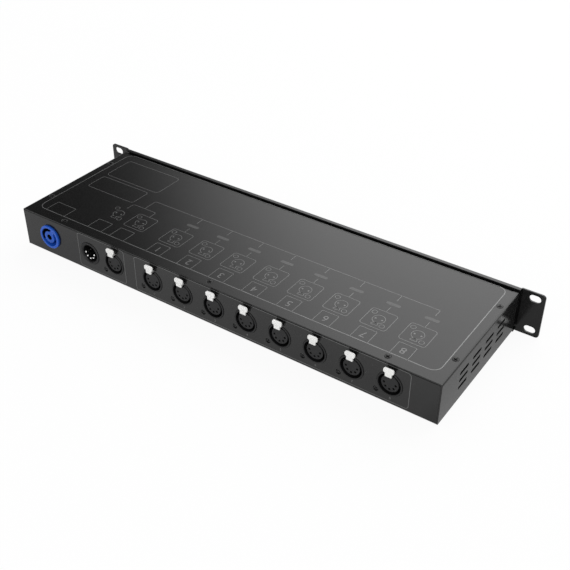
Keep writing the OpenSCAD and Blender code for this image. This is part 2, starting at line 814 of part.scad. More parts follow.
module input_pins() {
    color("gold") on_rear(input_from_end) for (place = contact_places) translate(place) {
        translate([0, 0, -shell_depth]) cylinder(h = shell_depth + pin_front - pin_d / 4, d = pin_d);
        translate([0, 0, pin_front - pin_d / 4])
            cylinder(h = pin_d / 4, d1 = pin_d, d2 = pin_d / 2);
        translate([0, 0, -shell_depth - board_t - 1.4]) cylinder(h = board_t + 1.4 + TINY, d = tail_d);
    }
}

// Twist-lock power inlet: collar, ring groove, core and key
module power_inlet() {
    color("#21438f") on_rear(inlet_from_end) {
        difference() {
            union() {
                translate([0, 0, -inlet_depth]) cylinder(h = inlet_depth + TINY, d = inlet_barrel_d);
                cylinder(h = inlet_proud - inlet_edge, d = inlet_collar_d);
                translate([0, 0, inlet_proud - inlet_edge])
                    cylinder(h = inlet_edge, d1 = inlet_collar_d, d2 = inlet_collar_d - 2 * inlet_edge);
            }
            translate([0, 0, inlet_groove_floor]) difference() {
                cylinder(h = inlet_groove_depth + 1, d = inlet_groove_d);
                translate([0, 0, -1]) cylinder(h = inlet_groove_depth + 1 - inlet_edge, d = inlet_core_d);
            }
            translate([0, 0, inlet_core_floor]) cylinder(h = 20, d = inlet_core_hole_d);
            for (turn = [90, 210, 330]) rotate(turn) translate([inlet_tab_spread, 0, -inlet_depth - 1])
                linear_extrude(blade_len / 2 + 1)
                    square([blade_t + 2 * bore_gap, blade_w + 2 * bore_gap], center = true);
        }
        rotate(inlet_key_turn) translate([inlet_core_d / 2 - 0.6, -inlet_key_w / 2, inlet_groove_floor])
            cube([(inlet_groove_d - inlet_core_d) / 2 + 1.2, inlet_key_w, inlet_groove_depth - inlet_edge]);
    }
}

module inlet_nut() {
    color("#2c2c2e") on_rear(inlet_from_end) translate([0, 0, -tray_t - inlet_nut_t])
        hex_nut(inlet_nut_d * cos(30), inlet_nut_t, inlet_barrel_d + 2 * bore_gap);
}

// Flat terminals at the back of the inlet
module inlet_tabs() {
    color("silver") on_rear(inlet_from_end) for (turn = [90, 210, 330]) rotate(turn)
        translate([inlet_tab_spread, 0, -inlet_depth - blade_len / 2]) blade();
}

module blade() {
    difference() {
        linear_extrude(blade_len) square([blade_t, blade_w], center = true);
        translate([0, 0, blade_hole_in]) rotate([0, 90, 0])
            cylinder(h = 2 * blade_t, d = blade_hole_d, center = true);
    }
}

module socket_board() {
    left = main_board_left;
    right = case_w / 2 - input_from_end + socket_board_margin;
    color("#1e5a3a") difference() {
        translate([left, socket_board_y, socket_board_low])
            cube([right - left, board_t, socket_board_high - socket_board_low]);
        for (place = signal_places) on_rear(place) for (spot = contact_places)
            translate([spot[0], spot[1], -shell_depth - board_t - 1])
                cylinder(h = board_t + 2, d = tail_d + 2 * board_hole_gap);
    }
}

// Circuit board with a hole over each of its standoffs
module circuit_board(left, front, w, d, places) {
    color("#1e5a3a") difference() {
        translate([left, front, board_z]) cube([w, d, board_t]);
        for (place = places) translate([place[0], place[1], board_z - 1])
            cylinder(h = board_t + 2, d = board_screw_d + 2 * board_hole_gap);
    }
}

module main_board() {
    circuit_board(main_board_left, main_board_front, main_board_right - main_board_left, main_board_d,
        main_fixings);
}

module supply_board() {
    circuit_board(supply_left, main_board_front, supply_w, supply_d, supply_fixings);
}

// Headers that join the main board to the socket board
module board_links() {
    color("#222222") for (x = link_places) translate([x, socket_board_y - link_h, board_top])
        cube([link_w, link_h, link_h]);
}

module standoffs() {
    color("silver") for (place = fixings) translate([place[0], place[1], tray_floor]) difference() {
        cylinder(h = standoff_h, d = standoff_d);
        translate([0, 0, 1]) cylinder(h = standoff_h, d = board_screw_d + 2 * bore_gap);
    }
}

module board_screws() {
    color("silver") for (place = fixings) translate([place[0], place[1], board_top]) difference() {
        union() {
            cylinder(h = board_head_h, d = 1.8 * board_screw_d);
            translate([0, 0, -board_screw_len - board_t])
                cylinder(h = board_screw_len + board_t + TINY, d = board_screw_d);
        }
        translate([0, 0, board_head_h / 2])
            cylinder(h = board_head_h, d = 0.9 * board_screw_d, $fn = 6);
    }
}

// A chip on the main board, with two rows of legs
module chip(len, legs) {
    translate([-len / 2, -chip_w / 2, chip_lift]) cube([len, chip_w, chip_h]);
    for (side = [-1, 1], i = [0:legs - 1])
        translate([(i - (legs - 1) / 2) * leg_pitch - leg_w / 2,
            side * (chip_w + leg_t) / 2 - leg_t / 2, 0])
            cube([leg_w, leg_t, chip_lift + chip_h / 2]);
}

// Places its children on the main board before each output
module at_outputs(back) {
    for (i = [1:OUTPUTS]) translate([case_w / 2 - socket_places[i], main_board_back - back, board_top])
        children();
}

module line_drivers() {
    color("#161616") at_outputs(driver_back) chip(driver_len, driver_legs);
}

module opto_isolators() {
    color("#e8e8e8") at_outputs(opto_back) chip(opto_len, opto_legs);
}

module isolated_converters() {
    color("#161616") at_outputs(converter_back)
        translate([-converter_size[0] / 2, -converter_size[1] / 2, 0]) cube(converter_size);
}

// Transformer: a laminated core round a wound bobbin
module supply_transformer() {
    middle = [supply_left + transformer_in, main_board_front + supply_d / 2, board_top];
    color("#8a8d90") translate(middle) {
        translate([-core_size[0] / 2, -core_size[1] / 2, 0]) cube(core_size);
        translate([0, 0, core_size[2] / 2]) cube(bobbin_size, center = true);
    }
}

module supply_capacitors() {
    right = supply_left + supply_w;
    middle = main_board_front + supply_d / 2;
    color("#22335f") for (side = [-1, 1]) {
        translate([right - tall_capacitor_in, middle + side * tall_capacitor_apart / 2, board_top])
            cylinder(h = tall_capacitor[1], d = tall_capacitor[0]);
        translate([right - low_capacitor_in, middle + side * low_capacitor_apart / 2, board_top])
            cylinder(h = low_capacitor[1], d = low_capacitor[0]);
    }
}

// Body of the power switch: bezel, window and clips behind the wall
module switch_body() {
    clip_back = panel_t + tray_t + 0.1;
    color("#19191a") on_front(switch_x) difference() {
        union() {
            translate([0, 0, bezel_t / 2]) cube([switch_w, switch_h, bezel_t], center = true);
            translate([0, 0, -switch_depth / 2 + TINY]) cube([body_w, body_h, switch_depth], center = true);
            translate([0, 0, -clip_back - clip_len / 2])
                cube([clip_w, body_h + 2 * clip_h, clip_len], center = true);
        }
        translate([0, 0, bezel_t])
            cube([rocker_w + 2 * rocker_gap, 2 * window_half_h, 2 * (bezel_t + cavity_depth)], center = true);
        translate([0, 0, -panel_t - pivot_back]) rotate([0, 90, 0])
            cylinder(h = 2 * body_w, r = pivot_r + pivot_gap, center = true);
    }
}

// The rocker, tipped to its off side, with a pin at each end
module switch_rocker() {
    color("#1c1c1d") on_front(switch_x) translate([0, 0, -panel_t - pivot_back])
        rotate([rocker_travel / 2, 0, 0]) {
        translate([-rocker_w / 2, 0, 0]) rotate([90, 0, 90]) linear_extrude(rocker_w)
            polygon([[-rocker_half_h, rocker_end_high], [0, rocker_mid_high],
                [rocker_half_h, rocker_end_high], [rocker_half_h, rocker_end_low],
                [rocker_foot_half, -rocker_foot_low], [-rocker_foot_half, -rocker_foot_low],
                [-rocker_half_h, rocker_end_low]]);
        rotate([0, 90, 0]) cylinder(h = rocker_w + 2 * (rocker_gap + pivot_len), r = pivot_r, center = true);
    }
}

module switch_tabs() {
    color("silver") on_front(switch_x) for (step = [-1:1])
        translate([0, step * switch_tab_pitch, -switch_depth - switch_tab_len])
        rotate(90) linear_extrude(switch_tab_len) square([blade_t, blade_w], center = true);
}

// Lamps that stand on their board and look through the panel
module status_lamps() {
    back = lamp_board_y + panel_t;
    color("#8fd18f") for (x = lamp_places) on_front(x) {
        translate([0, 0, -back]) cylinder(h = 1, d = lamp_d + 2 * lamp_rim);
        translate([0, 0, -back]) cylinder(h = back + lamp_out - lamp_d / 2, d = lamp_d);
        translate([0, 0, lamp_out - lamp_d / 2]) sphere(d = lamp_d);
    }
}

module lamp_board() {
    left = first_lamp_x - lamp_board_margin;
    color("#1e5a3a") translate([left, lamp_board_y, -lamp_board_h / 2])
        cube([power_lamp_x + lamp_board_margin - left, board_t, lamp_board_h]);
}

module earth_stud() {
    color("gold") translate([earth_place[0], earth_place[1], tray_floor]) {
        cylinder(h = 1, d = earth_washer_d);
        cylinder(h = earth_h, d = earth_d);
        translate([0, 0, 1]) hex_nut(earth_nut_w, earth_nut_h, earth_d - 0.1);
    }
}

base_tray();
top_cover();
front_panel();
cover_screws();
cover_inserts();
panel_screws();
panel_nuts();
power_inlet();
inlet_nut();
inlet_tabs();
input_shell();
input_insert();
input_pins();
for (i = [0:OUTPUTS]) {
    on_rear(socket_places[i]) socket_shell();
    on_rear(socket_places[i]) socket_insert();
    on_rear(socket_places[i]) socket_latch();
}
socket_contacts();
latch_springs();
connector_screws();
socket_board();
main_board();
board_links();
line_drivers();
opto_isolators();
isolated_converters();
standoffs();
board_screws();
supply_board();
supply_transformer();
supply_capacitors();
switch_body();
switch_rocker();
switch_tabs();
status_lamps();
lamp_board();
earth_stud();
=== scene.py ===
"""Looks of a one-unit signal splitter: finishes, printing, hardware, springs and a studio.

Every piece is built in metres in the part's own frame. The origin is the middle of the plane
in which the ears meet the rack, +Y points to the back of the case and +Z up.
"""

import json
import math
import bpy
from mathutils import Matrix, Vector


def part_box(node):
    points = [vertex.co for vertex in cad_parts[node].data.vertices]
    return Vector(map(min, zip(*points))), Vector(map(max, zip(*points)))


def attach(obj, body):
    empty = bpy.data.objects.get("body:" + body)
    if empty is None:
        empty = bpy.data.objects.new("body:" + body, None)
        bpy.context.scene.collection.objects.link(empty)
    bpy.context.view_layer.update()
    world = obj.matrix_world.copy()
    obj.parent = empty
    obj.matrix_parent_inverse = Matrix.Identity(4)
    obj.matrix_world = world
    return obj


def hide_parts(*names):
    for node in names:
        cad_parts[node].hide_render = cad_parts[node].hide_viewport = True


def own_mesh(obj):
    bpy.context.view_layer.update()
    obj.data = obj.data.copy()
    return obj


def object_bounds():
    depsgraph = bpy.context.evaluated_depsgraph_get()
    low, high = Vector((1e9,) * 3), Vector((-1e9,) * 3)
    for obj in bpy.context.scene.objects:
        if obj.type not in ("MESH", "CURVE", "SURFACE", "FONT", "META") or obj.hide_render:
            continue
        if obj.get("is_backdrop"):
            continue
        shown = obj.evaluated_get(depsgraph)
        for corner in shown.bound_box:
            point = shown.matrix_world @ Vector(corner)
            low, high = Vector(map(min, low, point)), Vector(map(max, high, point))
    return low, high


bl_info = {
    "name": "Signal Splitter Looks",
    "version": (1, 0, 0),
    "blender": (4, 5, 0),
    "location": "3D View > Sidebar > Splitter",
    "description": "Finishes, printing, screws and studio for a rack-mount signal splitter",
    "category": "Object",
}

import bmesh
import bpy
from mathutils import Matrix, Vector

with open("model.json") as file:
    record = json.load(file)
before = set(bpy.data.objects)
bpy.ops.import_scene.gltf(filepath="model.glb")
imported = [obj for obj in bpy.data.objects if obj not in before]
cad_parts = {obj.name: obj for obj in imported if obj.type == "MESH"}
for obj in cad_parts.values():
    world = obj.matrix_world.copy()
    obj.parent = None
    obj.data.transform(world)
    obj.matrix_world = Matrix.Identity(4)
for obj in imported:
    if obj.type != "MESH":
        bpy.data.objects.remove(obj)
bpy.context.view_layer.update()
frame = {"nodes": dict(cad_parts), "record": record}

MM = 0.001

# Where things stand, in the part's own frame

OUTPUTS = 8
SOCKETS = ["link"] + [f"output_{i + 1}" for i in range(OUTPUTS)]
CASE_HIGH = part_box("top_cover")[1]
PANEL_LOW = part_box("front_panel")[0]
SOCKET_PLACES = [sum(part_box(f"{name}_shell"), Vector()).x / 2 for name in SOCKETS]

# These put what lies flat in its own X-Y plane on the cover, the rear wall or the panel. Its Y
# points to the back on the cover, and up on the other two.
ON_COVER = Matrix.Translation((0, 0, CASE_HIGH.z))
ON_REAR = Matrix.Translation((0, CASE_HIGH.y, 0)) @ Matrix((
    (-1, 0, 0, 0), (0, 0, 1, 0), (0, 1, 0, 0), (0, 0, 0, 1)))
ON_PANEL = Matrix.Translation((0, PANEL_LOW.y, 0)) @ Matrix((
    (1, 0, 0, 0), (0, 0, -1, 0), (0, 1, 0, 0), (0, 0, 0, 1)))


# Settings that a user would change

def length(name, description, value):
    """A length setting, given in millimetres."""
    return bpy.props.FloatProperty(
        name=name, description=description, default=value * MM, unit="LENGTH", precision=5)


def colour(name, description, value):
    """A colour setting."""
    return bpy.props.FloatVectorProperty(
        name=name, description=description, default=value, subtype="COLOR", min=0.0, max=1.0)


class FinishColours(bpy.types.PropertyGroup):
    """Colours of the finishes that show most."""

    paint: colour("Paint", "Powder coat of the case and the rack panel", (0.005, 0.005, 0.005))
    ink: colour("Ink", "Lines and figures printed on the case", (0.11, 0.11, 0.11))
    border_ink: colour("Border ink", "Thick line printed round the cover", (0.13, 0.13, 0.13))
    pale_ink: colour("Pale ink", "Filled patches printed on the cover", (0.06, 0.06, 0.06))
    inlet: colour("Inlet", "Moulding of the power inlet", (0.009, 0.075, 0.42))
    latch: colour("Latch", "Moulding of the push latches", (0.91, 0.91, 0.90))
    shell: colour("Shell", "Moulding of the sockets' shells", (0.006, 0.006, 0.0065))
    insert: colour("Insert", "Moulding of the sockets' inserts", (0.009, 0.009, 0.0095))
    lamp: colour("Lamp", "Tinted lens of the status lamps", (0.25, 0.62, 0.28))


class PrintSettings(bpy.types.PropertyGroup):
    """Sizes of the printing."""

    line: length("Line", "Width of a printed line", 0.5)
    border_line: length("Border line", "Width of the line round the cover", 0.75)
    thin_line: length("Thin line", "Width of the lines on the rear wall", 0.5)
    ink: length("Ink", "Thickness of the ink", 0.03)
    sunk: length("Sunk", "How far the ink reaches into the paint", 0.02)
    figure: length("Figure", "Height of the figures on the cover", 7.6)
    small_figure: length("Small figure", "Height of the figures beside sockets and lamps", 2.5)
    symbol: length("Symbol", "Diameter of the round connector symbols", 10.7)
    square: length("Square", "Side of the square round a symbol", 23.3)


class HardwareSettings(bpy.types.PropertyGroup):
    """Sizes of the screws, and how far moulded edges are rounded."""

    case_head: length("Case screw head", "Diameter of the case screws' heads", 5.8)
    case_cone: length("Case screw cone", "Height of the case screws' heads", 1.5)
    case_thread: length("Case screw thread", "Diameter of the case screws' shanks", 3.0)
    case_length: length("Case screw length", "Length of the case screws", 6.0)
    small_head: length("Small screw head", "Diameter of the small screws' heads", 3.9)
    small_cone: length("Small screw cone", "Height of the small screws' heads", 0.9)
    small_thread: length("Small screw thread", "Diameter of the small screws' shanks", 2.6)
    small_length: length("Small screw length", "Length of the small screws", 7.2)
    small_sunk: length("Small screw depth", "How far the small screws are sunk", 0.8)
    latch_round: length("Latch edge", "Rounding of the latches' edges", 0.4)
    inlet_round: length("Inlet edge", "Rounding of the inlet's edges", 0.3)
    rocker_round: length("Rocker edge", "Rounding of the rocker's edges", 0.4)


class StageSettings(bpy.types.PropertyGroup):
    """Camera and light levels of the studio."""

    lens: bpy.props.FloatProperty(
        name="Lens", description="Focal length on a 36 mm sensor", default=58.02, unit="CAMERA")
    camera_place: bpy.props.FloatVectorProperty(
        name="Camera", description="Where the camera stands", default=(-0.40894, 0.62236, 0.46461),
        subtype="TRANSLATION", unit="LENGTH")
    soft_box: bpy.props.FloatProperty(
        name="Soft box", description="Power of the large soft box in front", default=120.0,
        unit="POWER")
    fill: bpy.props.FloatProperty(
        name="Fill", description="Power of the soft light behind the camera", default=14.5,
        unit="POWER")
    room: bpy.props.FloatProperty(
        name="Room", description="Strength of the even light of the room", default=0.55)


# Node helpers

def put(tree, kind, inputs=None, **options):
    """Adds a node, sets its options, and feeds its inputs with sockets or plain values."""
    node = tree.nodes.new(kind)
    for key, value in options.items():
        setattr(node, key, value)
    for key, value in (inputs or {}).items():
        if isinstance(value, bpy.types.NodeSocket):
            tree.links.new(value, node.inputs[key])
        else:
            node.inputs[key].default_value = value
    return node


def math_node(tree, operation, first, second):
    """A Math node's result."""
    return put(tree, "ShaderNodeMath", {0: first, 1: second}, operation=operation).outputs[0]


def parts_of(tree, kind, output):
    """The X, Y and Z of a node's vector."""
    vector = put(tree, kind).outputs[output]
    return put(tree, "ShaderNodeSeparateXYZ", {0: vector}).outputs


# Materials

NOISE_RANGE = (0.3, 0.7)
EDGE_TURN = (0.995, 0.8)  # cosines of the turn at an edge
EDGE_SAMPLES = 4
DRIFT_GAIN, DRIFT_LIFT = 1.35, 0.002  # for a finish without an accent
DRIFT_SPAN, WEAR_SPAN = 30, 8  # how many grains wide the drift and the wear are
WEAR_RANGE = (0.25, 0.8)


def new_material(name):
    """An empty node material and its tree."""
    material = bpy.data.materials.get(name) or bpy.data.materials.new(name)
    material.use_nodes = True
    material.node_tree.nodes.clear()
    return material, material.node_tree


def object_noise(tree, scale, detail=2.0, stretch=(1, 1, 1)):
    """Noise on the piece's own coordinates, with its scale in waves per metre."""
    place = put(tree, "ShaderNodeTexCoord").outputs["Object"]
    mapping = put(tree, "ShaderNodeMapping", {"Vector": place, "Scale": stretch})
    return put(tree, "ShaderNodeTexNoise", {
        "Vector": mapping.outputs["Vector"], "Scale": scale, "Detail": detail,
    }).outputs["Fac"]


def spread(tree, value, low, high, span=NOISE_RANGE):
    """Maps a value from its range, which is noise's where none is given, to another range."""
    return put(tree, "ShaderNodeMapRange", {
        "Value": value, "From Min": span[0], "From Max": span[1], "To Min": low, "To Max": high,
    }).outputs["Result"]


def mixed(tree, factor, first, second):
    """One colour blended into another; either is a colour or a socket."""
    ends = [(*end, 1) if isinstance(end, tuple) else end for end in (first, second)]
    return put(tree, "ShaderNodeMix", {"Factor": factor, "A": ends[0], "B": ends[1]},
               data_type="RGBA").outputs["Result"]


def soft_normal(tree, radius):
    """The surface's direction, softened near its edges."""
    return put(tree, "ShaderNodeBevel", {"Radius": radius}, samples=EDGE_SAMPLES).outputs["Normal"]


def edge_mask(tree, radius):
    """How near a point lies to an outside edge, from 0 to 1."""
    soft = soft_normal(tree, radius)
    flat = put(tree, "ShaderNodeNewGeometry").outputs["Normal"]
    turn = put(tree, "ShaderNodeVectorMath", {0: soft, 1: flat}, operation="DOT_PRODUCT")
    return spread(tree, turn.outputs["Value"], 0.0, 1.0, EDGE_TURN)


def make_finish(name, colour, roughness, *, accent=None, grain=900, bump=0.0, depth=0.00002,
                metallic=0.0, edge=0.0003, worn=None, stretch=(1, 1, 1), rough_spread=0.06,
                coat=0.0, specular=0.5):
    """A finish with its own colour drift, roughness drift, grain and softened edges."""
    material, tree = new_material(name)
    accent = accent or tuple(min(1.0, c * DRIFT_GAIN + DRIFT_LIFT) for c in colour)
    drift = object_noise(tree, grain / DRIFT_SPAN, detail=3.0, stretch=stretch)
    paint = mixed(tree, spread(tree, drift, 0.0, 1.0), colour, accent)
    if worn:
        patchy = spread(tree, object_noise(tree, grain / WEAR_SPAN), *WEAR_RANGE)
        paint = mixed(tree, math_node(tree, "MULTIPLY", edge_mask(tree, edge), patchy), paint,
                      worn)
    fine = object_noise(tree, grain, stretch=stretch)
    rough = spread(tree, fine, roughness - rough_spread, roughness + rough_spread)
    normal = soft_normal(tree, edge)
    if bump:
        normal = put(tree, "ShaderNodeBump", {
            "Height": fine, "Strength": bump, "Distance": depth, "Normal": normal,
        }).outputs["Normal"]
    surface = put(tree, "ShaderNodeBsdfPrincipled", {
        "Base Color": paint, "Roughness": rough, "Normal": normal, "Metallic": metallic,
        "Coat Weight": coat, "Specular IOR Level": specular,
    })
    put(tree, "ShaderNodeOutputMaterial", {"Surface": surface.outputs["BSDF"]})
    return material


def make_lens(name, colour, grain=800, accent_share=0.8):
    """A tinted, nearly clear lamp lens."""
    material, tree = new_material(name)
    tint = mixed(tree, spread(tree, object_noise(tree, grain), 0, 1), colour,
                 tuple(c * accent_share for c in colour))
    surface = put(tree, "ShaderNodeBsdfPrincipled", {
        "Base Color": tint, "Roughness": 0.12, "Transmission Weight": 0.35, "Coat Weight": 0.4,
    })
    put(tree, "ShaderNodeOutputMaterial", {"Surface": surface.outputs["BSDF"]})
    return material


SCREW = dict(grain=3000, bump=0.1, edge=0.0002, worn=(0.08, 0.08, 0.08))
METAL = dict(grain=2500, metallic=1.0, edge=0.0002)
MOULDED = dict(grain=2200, bump=0.2, edge=0.0003)
PRINT = dict(grain=2600, bump=0.1, edge=0.00002)

# Each finish: its colour, or the name of its colour setting, its roughness, and its details
FINISHES = {
    "case_paint": ("paint", 0.18, dict(
        accent=(0.0065, 0.0065, 0.0065), grain=2600, bump=0.1, depth=0.00001, edge=0.0004,
        worn=(0.03, 0.03, 0.03), specular=0.45, rough_spread=0.02)),
    "black_screw": ((0.006, 0.006, 0.006), 0.28, dict(SCREW, specular=0.28)),
    "connector_screw": ((0.006, 0.006, 0.0065), 0.34, dict(SCREW, specular=0.4)),
    "steel": ((0.55, 0.55, 0.54), 0.32, METAL),
    "inlet_blue": ("inlet", 0.3, dict(
        grain=1800, bump=0.12, edge=0.0004, worn=(0.05, 0.16, 0.6), specular=0.3)),
    # Near-black finish of the sheets that paint the shade in the inlet's groove and core
    "painted_shade_black": ((0.003, 0.0035, 0.006), 0.5, dict(MOULDED, specular=0.2)),
    "shell_black": ("shell", 0.45, dict(MOULDED, worn=(0.02, 0.02, 0.02), specular=0.3)),
    "insert_plastic": ("insert", 0.5, dict(MOULDED, specular=0.3)),
    "latch_white": ("latch", 0.4, dict(
        accent=(0.87, 0.87, 0.85), grain=1500, bump=0.08, edge=0.0004)),
    "contact_metal": ((0.60, 0.44, 0.18), 0.3, METAL),
    "pin_metal": ((0.82, 0.81, 0.78), 0.22, METAL),
    "board_green": ((0.01, 0.09, 0.03), 0.35, dict(grain=600, bump=0.1, coat=0.3)),
    "chip_black": ((0.012, 0.012, 0.012), 0.55, dict(grain=1500, bump=0.2)),
    "opto_white": ((0.7, 0.7, 0.68), 0.5, dict(grain=1500, bump=0.1)),
    "transformer": ((0.25, 0.25, 0.26), 0.4, dict(grain=1200, metallic=0.8, stretch=(1, 1, 14))),
    "capacitor": ((0.01, 0.02, 0.09), 0.3, dict(grain=900, coat=0.3)),
    "switch_black": ((0.01, 0.01, 0.0105), 0.3, dict(
        grain=2200, bump=0.15, edge=0.0005, worn=(0.04, 0.04, 0.04))),
    "print_ink": ("ink", 0.2, dict(PRINT, accent=(0.09, 0.09, 0.09), specular=0.75)),
    "border_ink": ("border_ink", 0.2, dict(PRINT, accent=(0.07, 0.07, 0.07), specular=1.0)),
    "print_pale": ("pale_ink", 0.2, dict(PRINT, accent=(0.05, 0.05, 0.05), specular=0.45)),
}
MADE = {}


def finish(slot):
    """The material of a finish, made once."""
    if slot not in MADE:
        colours = bpy.context.scene.splitter_colours
        if slot == "lamp":
            MADE[slot] = make_lens(slot, tuple(colours.lamp))
        else:
            shade, roughness, details = FINISHES[slot]
            if isinstance(shade, str):
                shade = tuple(getattr(colours, shade))
            MADE[slot] = make_finish(slot, shade, roughness, **details)
    return MADE[slot]


# Piece helpers

SHARP_TURN = 0.6  # radians at an edge, from which it is sharp
FLAT_TURN = 0.01  # radians at an edge, up to which it is dropped
SAME_PLACE = 1e-7  # metres between points that are merged
NO_LENGTH = 1e-8  # metres of an edge that is dropped


def mesh_of(shape, name):
    """The mesh of a finished shape."""
    mesh = bpy.data.meshes.new(name)
    shape.to_mesh(mesh)
    shape.free()
    return mesh


def mesh_from(name, points, edges=(), faces=()):
    """A mesh from its points, edges and faces."""
    mesh = bpy.data.meshes.new(name)
    mesh.from_pydata(points, edges, faces)
    return mesh


def link_object(name, data):
    """Puts a mesh, a camera or a light in the scene under a name."""
    piece = bpy.data.objects.new(name, data)
    bpy.context.scene.collection.objects.link(piece)
    return piece


def make_plain(piece):
    """Turns what the modifiers make into the piece's own mesh, and drops the modifiers."""
    shape = piece.evaluated_get(bpy.context.evaluated_depsgraph_get())
    mesh = bpy.data.meshes.new_from_object(shape)
    piece.modifiers.clear()
    piece.data = mesh
    return piece


def joined(name, parts, place, slot):
    """One piece from several, put in its place, with one finish."""
    shape = bmesh.new()
    for part in parts:
        shape.from_mesh(part.data)
        bpy.data.objects.remove(part)
    shape.transform(place)
    for face in shape.faces:
        face.material_index = 0
        face.smooth = False
    mesh = mesh_of(shape, name)
    mesh.materials.append(finish(slot))
    return link_object(name, mesh)


def register_piece(piece, body="chassis", stands_for=()):
    """Gives a finished piece its body and the nodes it stands for."""
    if not len(piece.data.polygons):
        raise RuntimeError(f"{piece.name} has no faces")
    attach(piece, body)
    for node in stands_for:
        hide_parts(node)


def smooth(mesh):
    """Smooth shading, with the sharp edges kept sharp."""
    mesh.polygons.foreach_set("use_smooth", [True] * len(mesh.polygons))
    mesh.set_sharp_from_angle(angle=SHARP_TURN)


def round_edges(piece, radius, segments):
    """Rounds the sharp edges of a piece."""
    bevel = piece.modifiers.new("edges", "BEVEL")
    bevel.width = radius
    bevel.segments = segments
    bevel.limit_method = "ANGLE"
    bevel.angle_limit = SHARP_TURN
    bevel.harden_normals = False
    make_plain(piece)
    smooth(piece.data)
    return piece


def rounded_copy(node, name, radius, segments=3):
    """A copy of a solid whose edges are rounded."""
    shape = bmesh.new()
    shape.from_mesh(frame["nodes"][node].data)
    bmesh.ops.remove_doubles(shape, verts=shape.verts, dist=SAME_PLACE)
    bmesh.ops.dissolve_limit(
        shape, angle_limit=FLAT_TURN, use_dissolve_boundaries=False, verts=shape.verts,
        edges=shape.edges)
    return round_edges(link_object(name, mesh_of(shape, name)), radius, segments)


def mould(node, name, radius, slot, body="chassis"):
    """A moulding with rounded edges, in the stead of a solid."""
    piece = rounded_copy(node, name, radius)
    piece.data.materials.append(finish(slot))
    register_piece(piece, body, [node])


# Geometry Nodes trees

CORNER_STEPS = 7  # points in a printed frame's or patch's corner
BEND_STEPS = 4  # points in a printed line's bend
INK_MERGE = 1e-6  # metres between the points of ink that are merged


class Tree:
    """A Geometry Nodes tree with named inputs and a finish, built from start to end."""

    KINDS = {float: "Float", int: "Int", tuple: "Vector", str: "String",
             bpy.types.Material: "Material", bpy.types.Object: "Object"}

    def __init__(self, name, **inputs):
        self.group = bpy.data.node_groups.new(name, "GeometryNodeTree")
        self.keys = {}
        face = self.group.interface
        face.new_socket("Geometry", in_out="INPUT", socket_type="NodeSocketGeometry")
        face.new_socket("Geometry", in_out="OUTPUT", socket_type="NodeSocketGeometry")
        for key, kind in {**inputs, "finish": bpy.types.Material}.items():
            label = key.replace("_", " ").capitalize()
            socket = face.new_socket(
                label, in_out="INPUT", socket_type="NodeSocket" + self.KINDS[kind])
            self.keys[key] = (label, socket.identifier)
        self.start = self.group.nodes.new("NodeGroupInput")

    def get(self, key):
        """The socket of a named input."""
        return self.start.outputs[self.keys[key][0]]

    def put(self, kind, inputs=None, **options):
        """Adds a node to the tree."""
        return put(self.group, kind, inputs, **options)

    def end(self, geometry):
        """Realizes the instances, sets the material and closes the tree."""
        real = self.put("GeometryNodeRealizeInstances", {"Geometry": geometry})
        shown = self.put("GeometryNodeSetMaterial", {
            "Geometry": real.outputs["Geometry"], "Material": self.get("finish")})
        self.put("NodeGroupOutput", {"Geometry": shown.outputs["Geometry"]})

    def make(self, name, mesh=None, **values):
        """Runs the tree on a mesh and returns the plain piece."""
        piece = link_object(name, mesh or bpy.data.meshes.new(name))
        modifier = piece.modifiers.new(self.group.name, "NODES")
        modifier.node_group = self.group
        for key, value in values.items():
            modifier[self.keys[key][1]] = value
        return make_plain(piece)


def inked(tree, curve):
    """A flat line of ink that follows a curve, half its thickness on each side of it."""
    upright = tree.put("GeometryNodeSetCurveNormal", {"Curve": curve}, mode="Z_UP")
    ribbon = tree.put("GeometryNodeCurvePrimitiveQuadrilateral", {
        "Width": tree.get("line"), "Height": tree.get("ink")})
    return tree.put("GeometryNodeCurveToMesh", {
        "Curve": upright.outputs["Curve"], "Profile Curve": ribbon.outputs["Curve"],
        "Fill Caps": True,
    }).outputs["Mesh"]


def filled(tree, curve):
    """A closed sheet of ink inside a flat curve, from its plane upwards."""
    sheet = tree.put("GeometryNodeFillCurve", {"Curve": curve}).outputs["Mesh"]
    up = tree.put("ShaderNodeCombineXYZ", {"Z": 1.0})
    top = tree.put("GeometryNodeExtrudeMesh", {
        "Mesh": sheet, "Offset": up.outputs["Vector"], "Offset Scale": tree.get("ink"),
        "Individual": False,
    }).outputs["Mesh"]
    base = tree.put("GeometryNodeFlipFaces", {"Mesh": sheet}).outputs["Mesh"]
    both = tree.put("GeometryNodeJoinGeometry")
    for part in (base, top):
        tree.group.links.new(part, both.inputs[0])
    return tree.put("GeometryNodeMergeByDistance", {
        "Geometry": both.outputs["Geometry"], "Distance": INK_MERGE,
    }).outputs["Geometry"]


def row_tree(name, printed, **sizes):
    """Rectangles with rounded corners, printed in a row from Start, each a Pitch further on."""
    tree = Tree(name, width=float, depth=float, corner=float, **sizes, ink=float, start=tuple,
                pitch=tuple, count=int)
    outline = tree.put("GeometryNodeCurvePrimitiveQuadrilateral", {
        "Width": tree.get("width"), "Height": tree.get("depth")})
    rounded = tree.put("GeometryNodeFilletCurve", {
        "Curve": outline.outputs["Curve"], "Radius": tree.get("corner"), "Count": CORNER_STEPS,
    }, mode="POLY")
    points = tree.put("GeometryNodeMeshLine", {
        "Count": tree.get("count"), "Start Location": tree.get("start"),
        "Offset": tree.get("pitch"),
    })
    row = tree.put("GeometryNodeInstanceOnPoints", {
        "Points": points.outputs["Mesh"], "Instance": printed(tree, rounded.outputs["Curve"])})
    tree.end(row.outputs["Instances"])
    return tree


def frame_tree():
    """A row of printed frames."""
    return row_tree("printed_frames", inked, line=float)


def patch_tree():
    """A row of filled printed patches."""
    return row_tree("printed_patches", filled)


